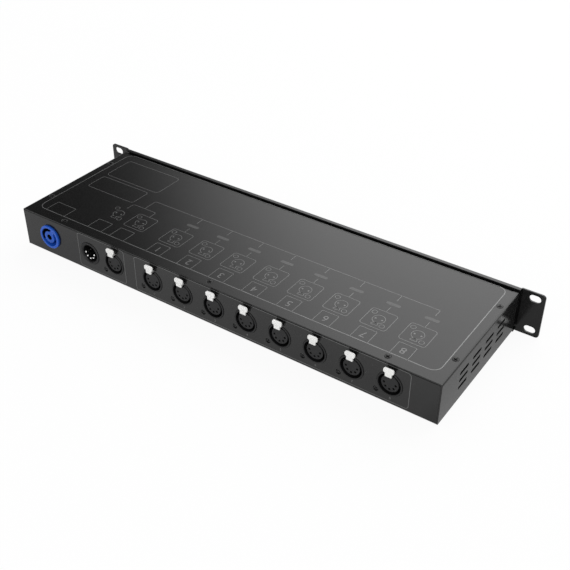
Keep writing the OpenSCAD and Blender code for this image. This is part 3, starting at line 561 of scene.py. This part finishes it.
def path_tree():
    """Printed lines that follow the edges of the mesh they are given."""
    tree = Tree("printed_paths", corner=float, line=float, ink=float)
    paths = tree.put("GeometryNodeMeshToCurve", {"Mesh": tree.start.outputs["Geometry"]})
    bent = tree.put("GeometryNodeFilletCurve", {
        "Curve": paths.outputs["Curve"], "Radius": tree.get("corner"),
        "Count": BEND_STEPS, "Limit Radius": True,
    }, mode="POLY")
    tree.end(inked(tree, bent.outputs["Curve"]))
    return tree


def figure_tree():
    """A printed figure about a point."""
    tree = Tree("printed_figures", figure=str, size=float, ink=float, place=tuple)
    text = tree.put("GeometryNodeStringToCurves", {
        "String": tree.get("figure"), "Size": tree.get("size"),
    }, align_x="CENTER", align_y="MIDDLE")
    curves = tree.put("GeometryNodeRealizeInstances", {
        "Geometry": text.outputs["Curve Instances"]})
    moved = tree.put("GeometryNodeTransform", {
        "Geometry": filled(tree, curves.outputs["Geometry"]), "Translation": tree.get("place")})
    tree.end(moved.outputs["Geometry"])
    return tree


def screw_tree():
    """A screw on every point of the mesh it is given, each turned its own way."""
    tree = Tree("screws_on_points", screw=bpy.types.Object, seed=int)
    screw = tree.put("GeometryNodeObjectInfo", {"Object": tree.get("screw")})
    turn = tree.put("FunctionNodeRandomValue", {
        "Min": (0.0, 0.0, 0.0), "Max": (0.0, 0.0, math.pi / 2), "Seed": tree.get("seed"),
    }, data_type="FLOAT_VECTOR")
    placed = tree.put("GeometryNodeInstanceOnPoints", {
        "Points": tree.start.outputs["Geometry"], "Instance": screw.outputs["Geometry"],
        "Rotation": turn.outputs["Value"],
    })
    tree.end(placed.outputs["Instances"])
    return tree


# Printing

FIGURE_SHARE = 0.73  # height of a figure in the built-in font, as a share of its size


def in_metres(*points):
    """Points in millimetres as points in metres."""
    return [tuple(value * MM for value in point) for point in points]


class Printer:
    """Prints frames, patches, lines and figures, and keeps them until they are joined."""

    def __init__(self, settings, line):
        self.settings = settings
        self.line = line
        self.ink = settings.ink + settings.sunk
        self.trees = {}
        self.parts = []

    def keep(self, make, mesh=None, **values):
        """Prints with a tree, which is made once, and keeps the result."""
        if make not in self.trees:
            self.trees[make] = make()
        self.parts.append(self.trees[make].make(
            f"print_{len(self.parts)}", mesh, ink=self.ink, finish=finish("print_ink"), **values))

    def frames(self, middle, width, depth, corner, pitch=0.0, count=1):
        """A row of frames."""
        self.keep(frame_tree, width=width, depth=depth, corner=corner, line=self.line,
                  start=(*middle, 0.0), pitch=(pitch, 0.0, 0.0), count=count)

    def patches(self, middle, width, depth, corner, pitch=0.0, count=1):
        """A row of filled patches."""
        self.keep(patch_tree, width=width, depth=depth, corner=corner,
                  start=(*middle, -self.ink / 2), pitch=(pitch, 0.0, 0.0), count=count)

    def paths(self, lines, corner):
        """Lines through points; a line that ends where it began is closed."""
        points, edges = [], []
        for line in lines:
            closed = line[0] == line[-1]
            line = line[:-1] if closed else line
            first = len(points)
            points += [(x, y, 0.0) for x, y in line]
            edges += [(first + i, first + i + 1) for i in range(len(line) - 1)]
            if closed:
                edges.append((first + len(line) - 1, first))
        self.keep(path_tree, mesh_from("paths", points, edges), corner=corner, line=self.line)

    def frame_between(self, left, right, low, high, corner):
        """A frame between four sides, in millimetres."""
        middle, (width, depth, corner) = in_metres(
            ((left + right) / 2, (low + high) / 2), (right - left, high - low, corner))
        self.frames(middle, width, depth, corner)

    def figures(self, places, height):
        """The figures from 1 on, each about its point."""
        for i, place in enumerate(places):
            self.keep(figure_tree, figure=str(i + 1), size=height / FIGURE_SHARE,
                      place=(*place, -self.ink / 2))

    def finish_piece(self, name, place, slot="print_ink", body="chassis"):
        """Joins what was printed into one piece on a surface."""
        raised = Matrix.Translation((0, 0, (self.settings.ink - self.settings.sunk) / 2))
        piece = joined(name, self.parts, place @ raised, slot)
        self.parts = []
        register_piece(piece, body=body)


# The cover's drawing, in millimetres: X from the middle of the case, Y behind the rack plane.
# A frame is its two ends, its front, its back and the radius of its corners.

BORDER = (-210.5, 210.5, 5.6, 133.8, 8.0)
BOX_CORNER, SQUARE_CORNER, LINE_CORNER, KEY_CORNER = 1.0, 2.5, 2.0, 0.3
NUMBER_BOX_FRONT = 117.8
NUMBER_BOX_W = 15.6
FIRST_NUMBER_X = 68.2
NUMBER_PITCH = -35.07
OTHER_BOXES = [(177.1, 200.6), (130.2, 146.7), (103.0, 119.5)]
FIGURE_Y = 125.8
FIRST_SYMBOL = (67.3, 102.45)
SYMBOL_PITCH = -34.97
LINK_SYMBOL = (110.7, 101.0)
INPUT_SYMBOL = (138.6, 100.6)
PATCH_Y = 78.6
PATCH_SIZE = (13.2, 3.5)
BUS_Y = 64.1
DROPS = [(64.1, 72.8), (83.0, 90.8)]
BRANCH_X = 124.9
BRANCH_TOP = 79.9
LINK_TOP = 89.3
NOTE_FRAMES = [(134.6, 201.3, 16.6, 51.1, 4.0), (141.9, 200.6, 55.5, 78.6, 3.0)]
SYMBOL_DOT = 1.7
SYMBOL_DOT_OFF = 3.0
SMALL_RING = 4.4
SMALL_RINGS = [(7.7, -6.9), (-6.6, 6.9)]
SYMBOL_KEY = [(-3.0, 8.4), (3.0, 8.4), (2.1, 5.4), (-2.1, 5.4), (-3.0, 8.4)]


def print_symbols(printer, middle, pitch=0.0, count=1):
    """A row of round connector symbols with their key and two small rings."""
    ring, small, dot = printer.settings.symbol, SMALL_RING * MM, SYMBOL_DOT * MM
    x, y = middle
    printer.frames(middle, ring, ring, ring / 2, pitch, count)
    for dx, dy in in_metres(*SMALL_RINGS):
        printer.frames((x + dx, y + dy), small, small, small / 2, pitch, count)
    for side in (-1, 1):
        printer.patches((x + side * SYMBOL_DOT_OFF * MM, y), dot, dot, dot / 2, pitch, count)
    keys = [[(x + i * pitch + dx, y + dy) for dx, dy in in_metres(*SYMBOL_KEY)]
            for i in range(count)]
    printer.paths(keys, KEY_CORNER * MM)


def print_cover(settings):
    """The drawing on the cover: border, number boxes, symbols, bus and empty frames."""
    border = Printer(settings, settings.border_line)
    border.frame_between(*BORDER)
    border.finish_piece("cover_border", ON_COVER, "border_ink")
    printer = Printer(settings, settings.line)
    numbers = [FIRST_NUMBER_X + i * NUMBER_PITCH for i in range(OUTPUTS)]
    boxes = OTHER_BOXES + [(x - NUMBER_BOX_W / 2, x + NUMBER_BOX_W / 2) for x in numbers]
    printer.paths([in_metres((a, BORDER[3]), (a, NUMBER_BOX_FRONT), (b, NUMBER_BOX_FRONT),
                             (b, BORDER[3])) for a, b in boxes], BOX_CORNER * MM)
    printer.figures(in_metres(*[(x, FIGURE_Y) for x in numbers]), settings.figure)
    first, link = in_metres(FIRST_SYMBOL, LINK_SYMBOL)
    pitch = SYMBOL_PITCH * MM
    for middle, count in ((first, OUTPUTS), (link, 1)):
        printer.frames(middle, settings.square, settings.square, SQUARE_CORNER * MM, pitch, count)
        print_symbols(printer, middle, pitch, count)
    print_symbols(printer, in_metres(INPUT_SYMBOL)[0])
    outputs = [FIRST_SYMBOL[0] + i * SYMBOL_PITCH for i in range(OUTPUTS)]
    lines = [in_metres((x, low), (x, high)) for x in outputs for low, high in DROPS]
    lines.append(in_metres((outputs[-1], BUS_Y), (BRANCH_X, BUS_Y), (BRANCH_X, BRANCH_TOP)))
    lines.append(in_metres((LINK_SYMBOL[0], LINK_TOP), (LINK_SYMBOL[0], BRANCH_TOP),
                           (INPUT_SYMBOL[0], BRANCH_TOP), (INPUT_SYMBOL[0], LINK_TOP)))
    printer.paths(lines, LINE_CORNER * MM)
    for sides in NOTE_FRAMES:
        printer.frame_between(*sides)
    printer.finish_piece("cover_printing", ON_COVER)
    width, depth = in_metres(PATCH_SIZE)[0]
    printer.patches((first[0], PATCH_Y * MM), width, depth, depth / 2, pitch, OUTPUTS)
    printer.finish_piece("cover_patches", ON_COVER, "print_pale")


# The rear wall's frames, in millimetres: where each begins and ends, from the power end, and then
# the heights of their lower and upper lines and the radius of their corners
REAR_FRAMES = [(70.0, 127.0), (139.5, 414.7)]
REAR_FRAME = (-17.0, 18.0, 3.0)
SMALL_FIGURE_UP = -13.8
SMALL_FIGURE_ASIDE = 1.2


def print_rear(settings):
    """Thin frames round the sockets, and a small figure under each output."""
    printer = Printer(settings, settings.thin_line)
    end = CASE_HIGH.x / MM
    for near, far in REAR_FRAMES:
        printer.frame_between(near - end, far - end, *REAR_FRAME)
    printer.figures([(SMALL_FIGURE_ASIDE * MM - x, SMALL_FIGURE_UP * MM)
                     for x in SOCKET_PLACES[1:]], settings.small_figure)
    printer.finish_piece("rear_printing", ON_REAR)


# The front: lamps stand a pitch apart, with their figures below them, in millimetres
FIRST_LAMP_X = -150.0
LAMP_PITCH = 14.0
LAMP_FIGURE_UP = -6.5
ROCKER_PIVOT = (184.0, 0.0, -5.5)
ROCKER_REST = math.radians(8)
ROCKER_FACE_TILT = math.atan2(1.5, 8.0)
ROCKER_FACE_MIDDLE = (4.0, 6.75)
ROCKER_MARK = 3.4


def print_front(settings):
    """Figures under the lamps, and the marks of the rocker's two sides."""
    printer = Printer(settings, settings.line)
    printer.figures(in_metres(*[(FIRST_LAMP_X + i * LAMP_PITCH, LAMP_FIGURE_UP)
                                for i in range(OUTPUTS)]), settings.small_figure)
    printer.finish_piece("front_printing", ON_PANEL)
    pivot, = in_metres(ROCKER_PIVOT)
    tipped = ON_PANEL @ Matrix.Translation(pivot) @ Matrix.Rotation(ROCKER_REST, 4, "X")
    up, out = in_metres(ROCKER_FACE_MIDDLE)[0]
    mark = ROCKER_MARK * MM
    for name, side, draw, width, corner in (
            ("rocker_on_mark", 1, printer.patches, settings.line, settings.line / 4),
            ("rocker_off_mark", -1, printer.frames, mark, mark / 2)):
        draw((0.0, 0.0), width, mark, corner)
        face = Matrix.Translation((0, side * up, out))
        face @= Matrix.Rotation(side * ROCKER_FACE_TILT, 4, "X")
        printer.finish_piece(name, tipped @ face, body="rocker")


# Screws

SIDE_SCREW_IN = 5.5
SIDE_SCREW_Y = (31.5, 112.5)
REAR_SCREWS = [(-171.0, 138.5), (0.0, 138.5), (171.0, 138.5)]
PANEL_SCREW_X, PANEL_SCREW_Z = 207.0, 13.0
SMALL_SCREW_ASIDE, SMALL_SCREW_DOWN = 11.5, 10.2

# A screw's own proportions. The cross has a reach and a half width, as shares of the head.
RIM_SHARE = 0.03  # rounding of the rim, as a share of the head
RIM_FALL = 0.3  # where the rounding turns, as a share of it
POINT_SHARE = 0.35  # radius of the shank's end, as a share of the thread
POINT_LENGTH = 0.2  # length of the shank's taper, as a share of the thread
CROSS_MOUTH, CROSS_FLOOR = (0.33, 0.085), (0.17, 0.05)
CROSS_DEPTH = 0.7  # as a share of the cone


def ring_of(shape, radius, height, count=32):
    """A ring of points."""
    turns = [2 * math.pi * i / count for i in range(count)]
    return [shape.verts.new((radius * math.cos(t), radius * math.sin(t), height)) for t in turns]


def band(shape, upper, lower):
    """Faces between two rings of as many points."""
    for i in range(len(upper)):
        j = (i + 1) % len(upper)
        shape.faces.new((upper[i], lower[i], lower[j], upper[j]))


def cross_of(shape, shares, head, height):
    """The outline of a cross recess, as twelve points."""
    reach, half_w = (share * head for share in shares)
    quarter = [(reach, -half_w), (reach, half_w), (half_w, half_w)]
    points = []
    for c, s in ((1, 0), (0, 1), (-1, 0), (0, -1)):
        points += [shape.verts.new((c * x - s * y, s * x + c * y, height)) for x, y in quarter]
    return points


def screw_mesh(name, head, cone, thread, length):
    """A countersunk screw with a tapered cross recess: its face at zero, its shank downwards."""
    shape = bmesh.new()
    soft = RIM_SHARE * head
    fall = RIM_FALL * soft
    shoulder = head / 2 - (head - thread) / 2 * soft / cone
    rings = [ring_of(shape, radius, height) for radius, height in (
        (shoulder - soft, 0.0), (shoulder - fall, -fall), (shoulder, -soft),
        (thread / 2, -cone), (thread / 2, POINT_LENGTH * thread - length),
        (POINT_SHARE * thread, -length))]
    for upper, lower in zip(rings, rings[1:]):
        band(shape, upper, lower)
    shape.faces.new(list(reversed(rings[-1])))
    mouth = cross_of(shape, CROSS_MOUTH, head, 0.0)
    floor = cross_of(shape, CROSS_FLOOR, head, -CROSS_DEPTH * cone)
    band(shape, floor, mouth)
    shape.faces.new(floor)
    rim = [edge for ring in (rings[0], mouth) for edge in
           [shape.edges.get((ring[i], ring[(i + 1) % len(ring)])) for i in range(len(ring))]]
    bmesh.ops.triangle_fill(shape, use_beauty=True, edges=rim, normal=(0, 0, 1))
    bmesh.ops.recalc_face_normals(shape, faces=shape.faces)
    return mesh_of(shape, name)


def place_screws(tree, name, sizes, points, place, slot, seed):
    """Screws on points of a surface, in the stead of the node of the same name."""
    template = link_object("screw_template", screw_mesh("screw", *sizes))
    mesh = mesh_from(name, [(x, y, 0.0) for x, y in points])
    screws = tree.make(name + "_points", mesh, screw=template, seed=seed, finish=finish(slot))
    piece = joined(name + "_detailed", [screws], place, slot)
    bpy.data.objects.remove(template)
    smooth(piece.data)
    register_piece(piece, stands_for=[name])


def build_screws(settings):
    """Cross-head screws of the cover, the rack panel and the sockets."""
    tree = screw_tree()
    case = (settings.case_head, settings.case_cone, settings.case_thread, settings.case_length)
    small = (settings.small_head, settings.small_cone, settings.small_thread,
             settings.small_length)
    side = CASE_HIGH.x - SIDE_SCREW_IN * MM
    cover = [(sign * side, y * MM) for sign in (-1, 1) for y in SIDE_SCREW_Y]
    cover += in_metres(*REAR_SCREWS)
    place_screws(tree, "cover_screws", case, cover, ON_COVER, "black_screw", seed=3)
    panel = in_metres(*[(x * PANEL_SCREW_X, z * PANEL_SCREW_Z)
                        for x in (-1, 0, 1) for z in (-1, 1)])
    place_screws(tree, "panel_screws", case, panel, ON_PANEL, "black_screw", seed=5)
    beside = [(-x - SMALL_SCREW_ASIDE * MM, -SMALL_SCREW_DOWN * MM) for x in SOCKET_PLACES]
    sunk = ON_REAR @ Matrix.Translation((0, 0, -settings.small_sunk))
    place_screws(tree, "connector_screws", small, beside, sunk, "connector_screw", seed=8)


# Springs, and the inlet's painted shade

# A leaf spring behind each latch, in millimetres: a base, a bend, and a leg that leans on the
# latch's tail
SPRING_BASE = 1.6
SPRING_BEND = 0.7
SPRING_THICKNESS = 0.3
SPRING_WIDTH = 4.0
SPRING_LEAN = math.radians(35)
SPRING_STEPS = 10  # of its bend
SPRING_EDGE = 0.06


def spring_mesh(name, x, low, high):
    """A leaf spring about a place along the case, between its fixed end and its free end."""
    bend, thick = SPRING_BEND * MM, SPRING_THICKNESS * MM
    leg = (high.y - low.y - bend * (1 + math.sin(SPRING_LEAN))) / math.cos(SPRING_LEAN)
    turns = [-math.pi / 2 + i * (math.pi / 2 + SPRING_LEAN) / SPRING_STEPS
             for i in range(SPRING_STEPS + 1)]
    outs = [Vector((math.sin(turn), math.cos(turn))) for turn in turns]
    path = [(out * bend, out * (bend - thick)) for out in outs]
    base, tip = Vector((0.0, -SPRING_BASE * MM)), Vector((outs[-1].y, -outs[-1].x)) * leg
    path = [[at + base for at in path[0]], *path, [at + tip for at in path[-1]]]
    half = SPRING_WIDTH * MM / 2
    points = [(x + side, low.y + bend + at.x, high.z - bend + at.y)
              for outer, inner in path
              for side, at in ((-half, outer), (half, outer), (half, inner), (-half, inner))]
    faces = [[4 * k + a, 4 * k + b, 4 * k + 4 + b, 4 * k + 4 + a]
             for k in range(len(path) - 1) for a, b in ((0, 1), (1, 2), (2, 3), (3, 0))]
    last = len(points) - 4
    faces += [[3, 2, 1, 0], [last, last + 1, last + 2, last + 3]]
    return mesh_from(name, points, faces=faces)


def build_springs():
    """A leaf spring behind each latch."""
    low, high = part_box("latch_springs")
    for name, x in zip(SOCKETS, SOCKET_PLACES):
        piece = link_object(f"{name}_spring", spring_mesh(f"{name}_spring", x, low, high))
        round_edges(piece, SPRING_EDGE * MM, segments=2)
        piece.data.materials.append(finish("steel"))
        register_piece(piece, stands_for=["latch_springs"])
        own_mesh(piece)


# Painted shade in the inlet: near-black sheets laid in its groove and in its core's hole, where
# shade falls.
# Each has two radii, the depths of the mouth and the floor under the inlet's face, in millimetres,
# and the first and last turn, in degrees
INLET_PLACE = sum(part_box("power_inlet"), Vector()).x / 2
INLET_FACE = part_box("power_inlet")[1].y
GROOVE_SHADE_SHEET = (5.98, 9.42, 0.8, 13.9, 92, 208)
CORE_SHADE_SHEET = (0.0, 2.87, 0.7, 9.9, 0, 360)
SHADE_SHEET_WALL = 0.25


def swept_cup(inner, outer, mouth, floor, first, last, steps=36):
    """A trough with thin walls between two radii, swept from one turn to another."""
    t = SHADE_SHEET_WALL
    inner_wall = [(inner + t, t - floor), (inner + t, -mouth), (inner, -mouth)]
    profile = [(outer, -mouth), (outer - t, -mouth), (outer - t, t - floor),
               *(inner_wall if inner else [(0, t - floor)]), (inner, -floor), (outer, -floor)]
    shape = bmesh.new()
    rings = []
    for i in range(steps + 1):
        turn = math.radians(first + (last - first) * i / steps)
        rings.append([shape.verts.new((r * MM * math.cos(turn), r * MM * math.sin(turn), z * MM))
                      for r, z in profile])
    for near, far in zip(rings, rings[1:]):
        band(shape, near, far)
    if last - first < 360:
        shape.faces.new(rings[0])
        shape.faces.new(list(reversed(rings[-1])))
    bmesh.ops.remove_doubles(shape, verts=shape.verts, dist=SAME_PLACE)
    bmesh.ops.dissolve_degenerate(shape, edges=shape.edges, dist=NO_LENGTH)
    bmesh.ops.recalc_face_normals(shape, faces=shape.faces)
    return mesh_of(shape, "painted_shade_sheet")


def build_painted_shade():
    """Painted shade: near-black sheets in the inlet's groove and core, where shade falls."""
    face = Matrix.Translation((INLET_PLACE, INLET_FACE - CASE_HIGH.y, 0))
    # The sheets are painted shade, not parts of the inlet
    cups = [link_object("cup", swept_cup(*sizes)) for sizes in (GROOVE_SHADE_SHEET, CORE_SHADE_SHEET)]
    piece = joined("inlet_chambers", cups, face @ ON_REAR, "painted_shade_black")
    smooth(piece.data)
    register_piece(piece)


def build_finishes():
    """Gives every solid of the construction its finish."""
    slots = {part["node"]: part["material_slot"] for part in frame["record"]["subparts"]}
    for node, piece in frame["nodes"].items():
        piece.data.materials.clear()
        piece.data.materials.append(finish(slots[node]))


# Studio

SOFT_BOX_FADE = [(0.0, 1.0), (0.577, 1.0), (0.72, 0.82), (0.797, 0.53), (0.847, 0.36),
                 (0.9, 0.17), (0.95, 0.045), (1.0, 0.01)]
SOFT_BOX_SLANT = 0.33
FLOOR_GLOSS = [(0.015, 0.4), (0.05, 1.0), (0.35, 1.0), (0.5, 0.7)]
CAMERA_RIGHT = Vector((-0.8228, -0.5683, 0.0038))
CAMERA_UP = Vector((0.3317, -0.4748, 0.8152))
CAMERA_SENSOR = 36.0  # millimetres
VIEW_END = 20.0
FLOOR_HALF = 4.0
FLOOR_GREY = (0.85, 0.85, 0.85, 1)
GLOSS_ASIDE = 0.03  # how far beside the case the floor's gloss begins to fade
WHITE_SEEN, WHITE_IN_GLOSS = 0.93, 0.57  # how much of the floor is plain white
WHITE = (1, 1, 1, 1)
CEILING_SPAN, CEILING_LEVEL = (0.05, 0.42), 0.03  # where the world darkens, and how far
# Where each lamp stands, the point it faces and its size
SOFT_BOX = (0.3, -2.32, 1.8), (0.45, 0.07, 0), (5.2, 3.1)
FILL = (-0.5, 1.9, 1.2), (0, 0.1, 0), (1.4, 1.0)


def build_camera(stage):
    """The camera at the photograph's viewing angle."""
    data = bpy.data.cameras.new("camera")
    data.lens = stage.lens
    data.sensor_width = CAMERA_SENSOR
    data.clip_end = VIEW_END
    camera = link_object("camera", data)
    back = CAMERA_RIGHT.cross(CAMERA_UP).normalized()
    up = back.cross(CAMERA_RIGHT).normalized()
    turn = Matrix((CAMERA_RIGHT.normalized(), up, back)).transposed().to_4x4()
    camera.matrix_world = Matrix.Translation(stage.camera_place) @ turn
    bpy.context.scene.camera = camera


def seen_directly(tree):
    """1 for what the camera sees directly or through glass, and 1 for what gloss shows."""
    path = put(tree, "ShaderNodeLightPath")
    straight = math_node(tree, "MAXIMUM", path.outputs["Is Camera Ray"],
                         path.outputs["Is Transmission Ray"])
    return straight, path.outputs["Is Glossy Ray"]


def graded(tree, value, stops):
    """A level that follows a value, from stops of value and level."""
    ramp = put(tree, "ShaderNodeValToRGB", {"Fac": value})
    elements = ramp.color_ramp.elements
    for element, (place, level) in zip(elements, (stops[0], stops[-1])):
        element.position = place
        element.color = (level, level, level, 1)
    for place, level in stops[1:-1]:
        elements.new(place).color = (level, level, level, 1)
    return ramp.outputs["Color"]


def build_floor(level):
    """A plain pale floor that stays white but keeps the object's shadow."""
    corners = [(x * FLOOR_HALF, y * FLOOR_HALF, level)
               for x, y in ((-1, -1), (1, -1), (1, 1), (-1, 1))]
    floor = link_object("floor", mesh_from("floor", corners, faces=[(0, 1, 2, 3)]))
    material, tree = new_material("floor")
    straight, glossy = seen_directly(tree)
    diffuse = put(tree, "ShaderNodeBsdfDiffuse", {"Color": FLOOR_GREY})
    aside = parts_of(tree, "ShaderNodeTexCoord", "Object")["X"]
    beside = graded(tree, math_node(tree, "ADD", aside, CASE_HIGH.x + GLOSS_ASIDE), FLOOR_GLOSS)
    white = put(tree, "ShaderNodeEmission", {
        "Color": WHITE, "Strength": math_node(tree, "MAXIMUM", straight, beside)})
    hidden = math_node(tree, "ADD", math_node(tree, "MULTIPLY", straight, WHITE_SEEN),
                       math_node(tree, "MULTIPLY", glossy, WHITE_IN_GLOSS))
    mix = put(tree, "ShaderNodeMixShader", {
        0: hidden, 1: diffuse.outputs[0], 2: white.outputs[0]})
    put(tree, "ShaderNodeOutputMaterial", {"Surface": mix.outputs[0]})
    floor.data.materials.append(material)
    floor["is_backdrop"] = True


def build_world(strength):
    """White behind the object, a white horizon in its gloss, and a darker ceiling."""
    world = bpy.data.worlds.new("studio")
    bpy.context.scene.world = world
    world.use_nodes = True
    tree = world.node_tree
    tree.nodes.clear()
    straight, glossy = seen_directly(tree)
    up = parts_of(tree, "ShaderNodeTexCoord", "Generated")["Z"]
    ceiling = spread(tree, up, 1.0, CEILING_LEVEL, CEILING_SPAN)
    gloss = math_node(tree, "MULTIPLY", glossy, ceiling)
    plain = math_node(tree, "MULTIPLY", math_node(tree, "SUBTRACT", 1.0, glossy), strength)
    level = math_node(tree, "MAXIMUM", straight, math_node(tree, "ADD", gloss, plain))
    light = put(tree, "ShaderNodeBackground", {"Color": WHITE, "Strength": level})
    put(tree, "ShaderNodeOutputWorld", {"Surface": light.outputs[0]})


def fall_off(tree):
    """The soft box's brightness across its face, with a slanted fall-off."""
    spot = parts_of(tree, "ShaderNodeNewGeometry", "Parametric")
    slant = math_node(tree, "MULTIPLY", spot["Y"], SOFT_BOX_SLANT)
    across = math_node(tree, "ADD", spot["X"], slant)
    return graded(tree, math_node(tree, "SUBTRACT", across, SOFT_BOX_SLANT / 2), SOFT_BOX_FADE)


def build_lamp(name, place, aim, size, power, shade=None):
    """A soft rectangular light that faces a point."""
    data = bpy.data.lights.new(name, "AREA")
    data.shape = "RECTANGLE"
    data.size, data.size_y = size
    data.energy = power
    if shade:
        data.use_nodes = True
        emission = data.node_tree.nodes["Emission"]
        data.node_tree.links.new(shade(data.node_tree), emission.inputs["Strength"])
    lamp = link_object(name, data)
    way = Vector(aim) - Vector(place)
    lamp.rotation_euler = way.to_track_quat("-Z", "Y").to_euler()
    lamp.location = place
    lamp.visible_camera = False


def build_stage(stage):
    """Camera, floor, world and lights."""
    build_camera(stage)
    build_floor(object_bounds()[0][2])
    build_world(stage.room)
    build_lamp("soft_box", *SOFT_BOX, stage.soft_box, fall_off)
    build_lamp("fill", *FILL, stage.fill)
    bpy.context.scene.view_settings.view_transform = "Standard"


# Operators

class SPLITTER_OT_stage(bpy.types.Operator):
    """Sets up the camera, the floor, the world and the lights"""

    bl_idname = "splitter.stage"
    bl_label = "Stage"

    def execute(self, context):
        build_stage(context.scene.splitter_stage)
        return {"FINISHED"}


class SPLITTER_OT_finishes(bpy.types.Operator):
    """Gives every solid its paint, plastic or metal"""

    bl_idname = "splitter.finishes"
    bl_label = "Finishes"

    def execute(self, context):
        build_finishes()
        return {"FINISHED"}


class SPLITTER_OT_cover_printing(bpy.types.Operator):
    """Prints the drawing on the cover"""

    bl_idname = "splitter.cover_printing"
    bl_label = "Cover printing"

    def execute(self, context):
        print_cover(context.scene.splitter_print)
        return {"FINISHED"}


class SPLITTER_OT_rear_printing(bpy.types.Operator):
    """Prints the frames and figures on the rear wall"""

    bl_idname = "splitter.rear_printing"
    bl_label = "Rear printing"

    def execute(self, context):
        print_rear(context.scene.splitter_print)
        return {"FINISHED"}


class SPLITTER_OT_front_printing(bpy.types.Operator):
    """Prints the figures under the lamps and the rocker's marks"""

    bl_idname = "splitter.front_printing"
    bl_label = "Front printing"

    def execute(self, context):
        print_front(context.scene.splitter_print)
        return {"FINISHED"}


class SPLITTER_OT_screws(bpy.types.Operator):
    """Places the cross-head screws"""

    bl_idname = "splitter.screws"
    bl_label = "Screws"

    def execute(self, context):
        build_screws(context.scene.splitter_hardware)
        return {"FINISHED"}


class SPLITTER_OT_latches(bpy.types.Operator):
    """Rounds the push latches and bends their springs"""

    bl_idname = "splitter.latches"
    bl_label = "Latches"

    def execute(self, context):
        for name in SOCKETS:
            mould(f"{name}_latch", f"{name}_latch_moulding",
                  context.scene.splitter_hardware.latch_round, "latch_white",
                  f"{name}_latch_body")
        build_springs()
        return {"FINISHED"}


class SPLITTER_OT_inlet(bpy.types.Operator):
    """Rounds the power inlet and lays painted shade in its groove and core"""

    bl_idname = "splitter.inlet"
    bl_label = "Power inlet"

    def execute(self, context):
        mould("power_inlet", "inlet_moulding", context.scene.splitter_hardware.inlet_round,
              "inlet_blue")
        build_painted_shade()
        return {"FINISHED"}


class SPLITTER_OT_rocker(bpy.types.Operator):
    """Rounds the rocker of the power switch"""

    bl_idname = "splitter.rocker"
    bl_label = "Rocker"

    def execute(self, context):
        mould("switch_rocker", "rocker_moulding", context.scene.splitter_hardware.rocker_round,
              "switch_black", "rocker")
        return {"FINISHED"}


OPERATORS = [
    SPLITTER_OT_stage, SPLITTER_OT_finishes, SPLITTER_OT_cover_printing,
    SPLITTER_OT_rear_printing, SPLITTER_OT_front_printing, SPLITTER_OT_screws,
    SPLITTER_OT_latches, SPLITTER_OT_inlet, SPLITTER_OT_rocker,
]
SETTINGS = {
    "splitter_colours": FinishColours, "splitter_print": PrintSettings,
    "splitter_hardware": HardwareSettings, "splitter_stage": StageSettings,
}


class SPLITTER_PT_pieces(bpy.types.Panel):
    """Lists the pieces of the splitter and their settings"""

    bl_idname = "SPLITTER_PT_pieces"
    bl_label = "Signal Splitter"
    bl_space_type = "VIEW_3D"
    bl_region_type = "UI"
    bl_category = "Splitter"

    def draw(self, context):
        for kind in OPERATORS:
            self.layout.operator(kind.bl_idname)
        for key, group in SETTINGS.items():
            box = self.layout.box()
            for name in group.__annotations__:
                box.prop(getattr(context.scene, key), name)


CLASSES = [*SETTINGS.values(), *OPERATORS, SPLITTER_PT_pieces]


def register():
    for kind in CLASSES:
        bpy.utils.register_class(kind)
    for key, group in SETTINGS.items():
        setattr(bpy.types.Scene, key, bpy.props.PointerProperty(type=group))


def unregister():
    for key in SETTINGS:
        delattr(bpy.types.Scene, key)
    for kind in reversed(CLASSES):
        bpy.utils.unregister_class(kind)


def main():
    """Builds everything in order."""
    register()
    bpy.ops.splitter.stage()
    bpy.ops.splitter.finishes()
    bpy.ops.splitter.cover_printing()
    bpy.ops.splitter.rear_printing()
    bpy.ops.splitter.front_printing()
    bpy.ops.splitter.screws()
    bpy.ops.splitter.latches()
    bpy.ops.splitter.inlet()
    bpy.ops.splitter.rocker()


if __name__ == "__main__":
    main()
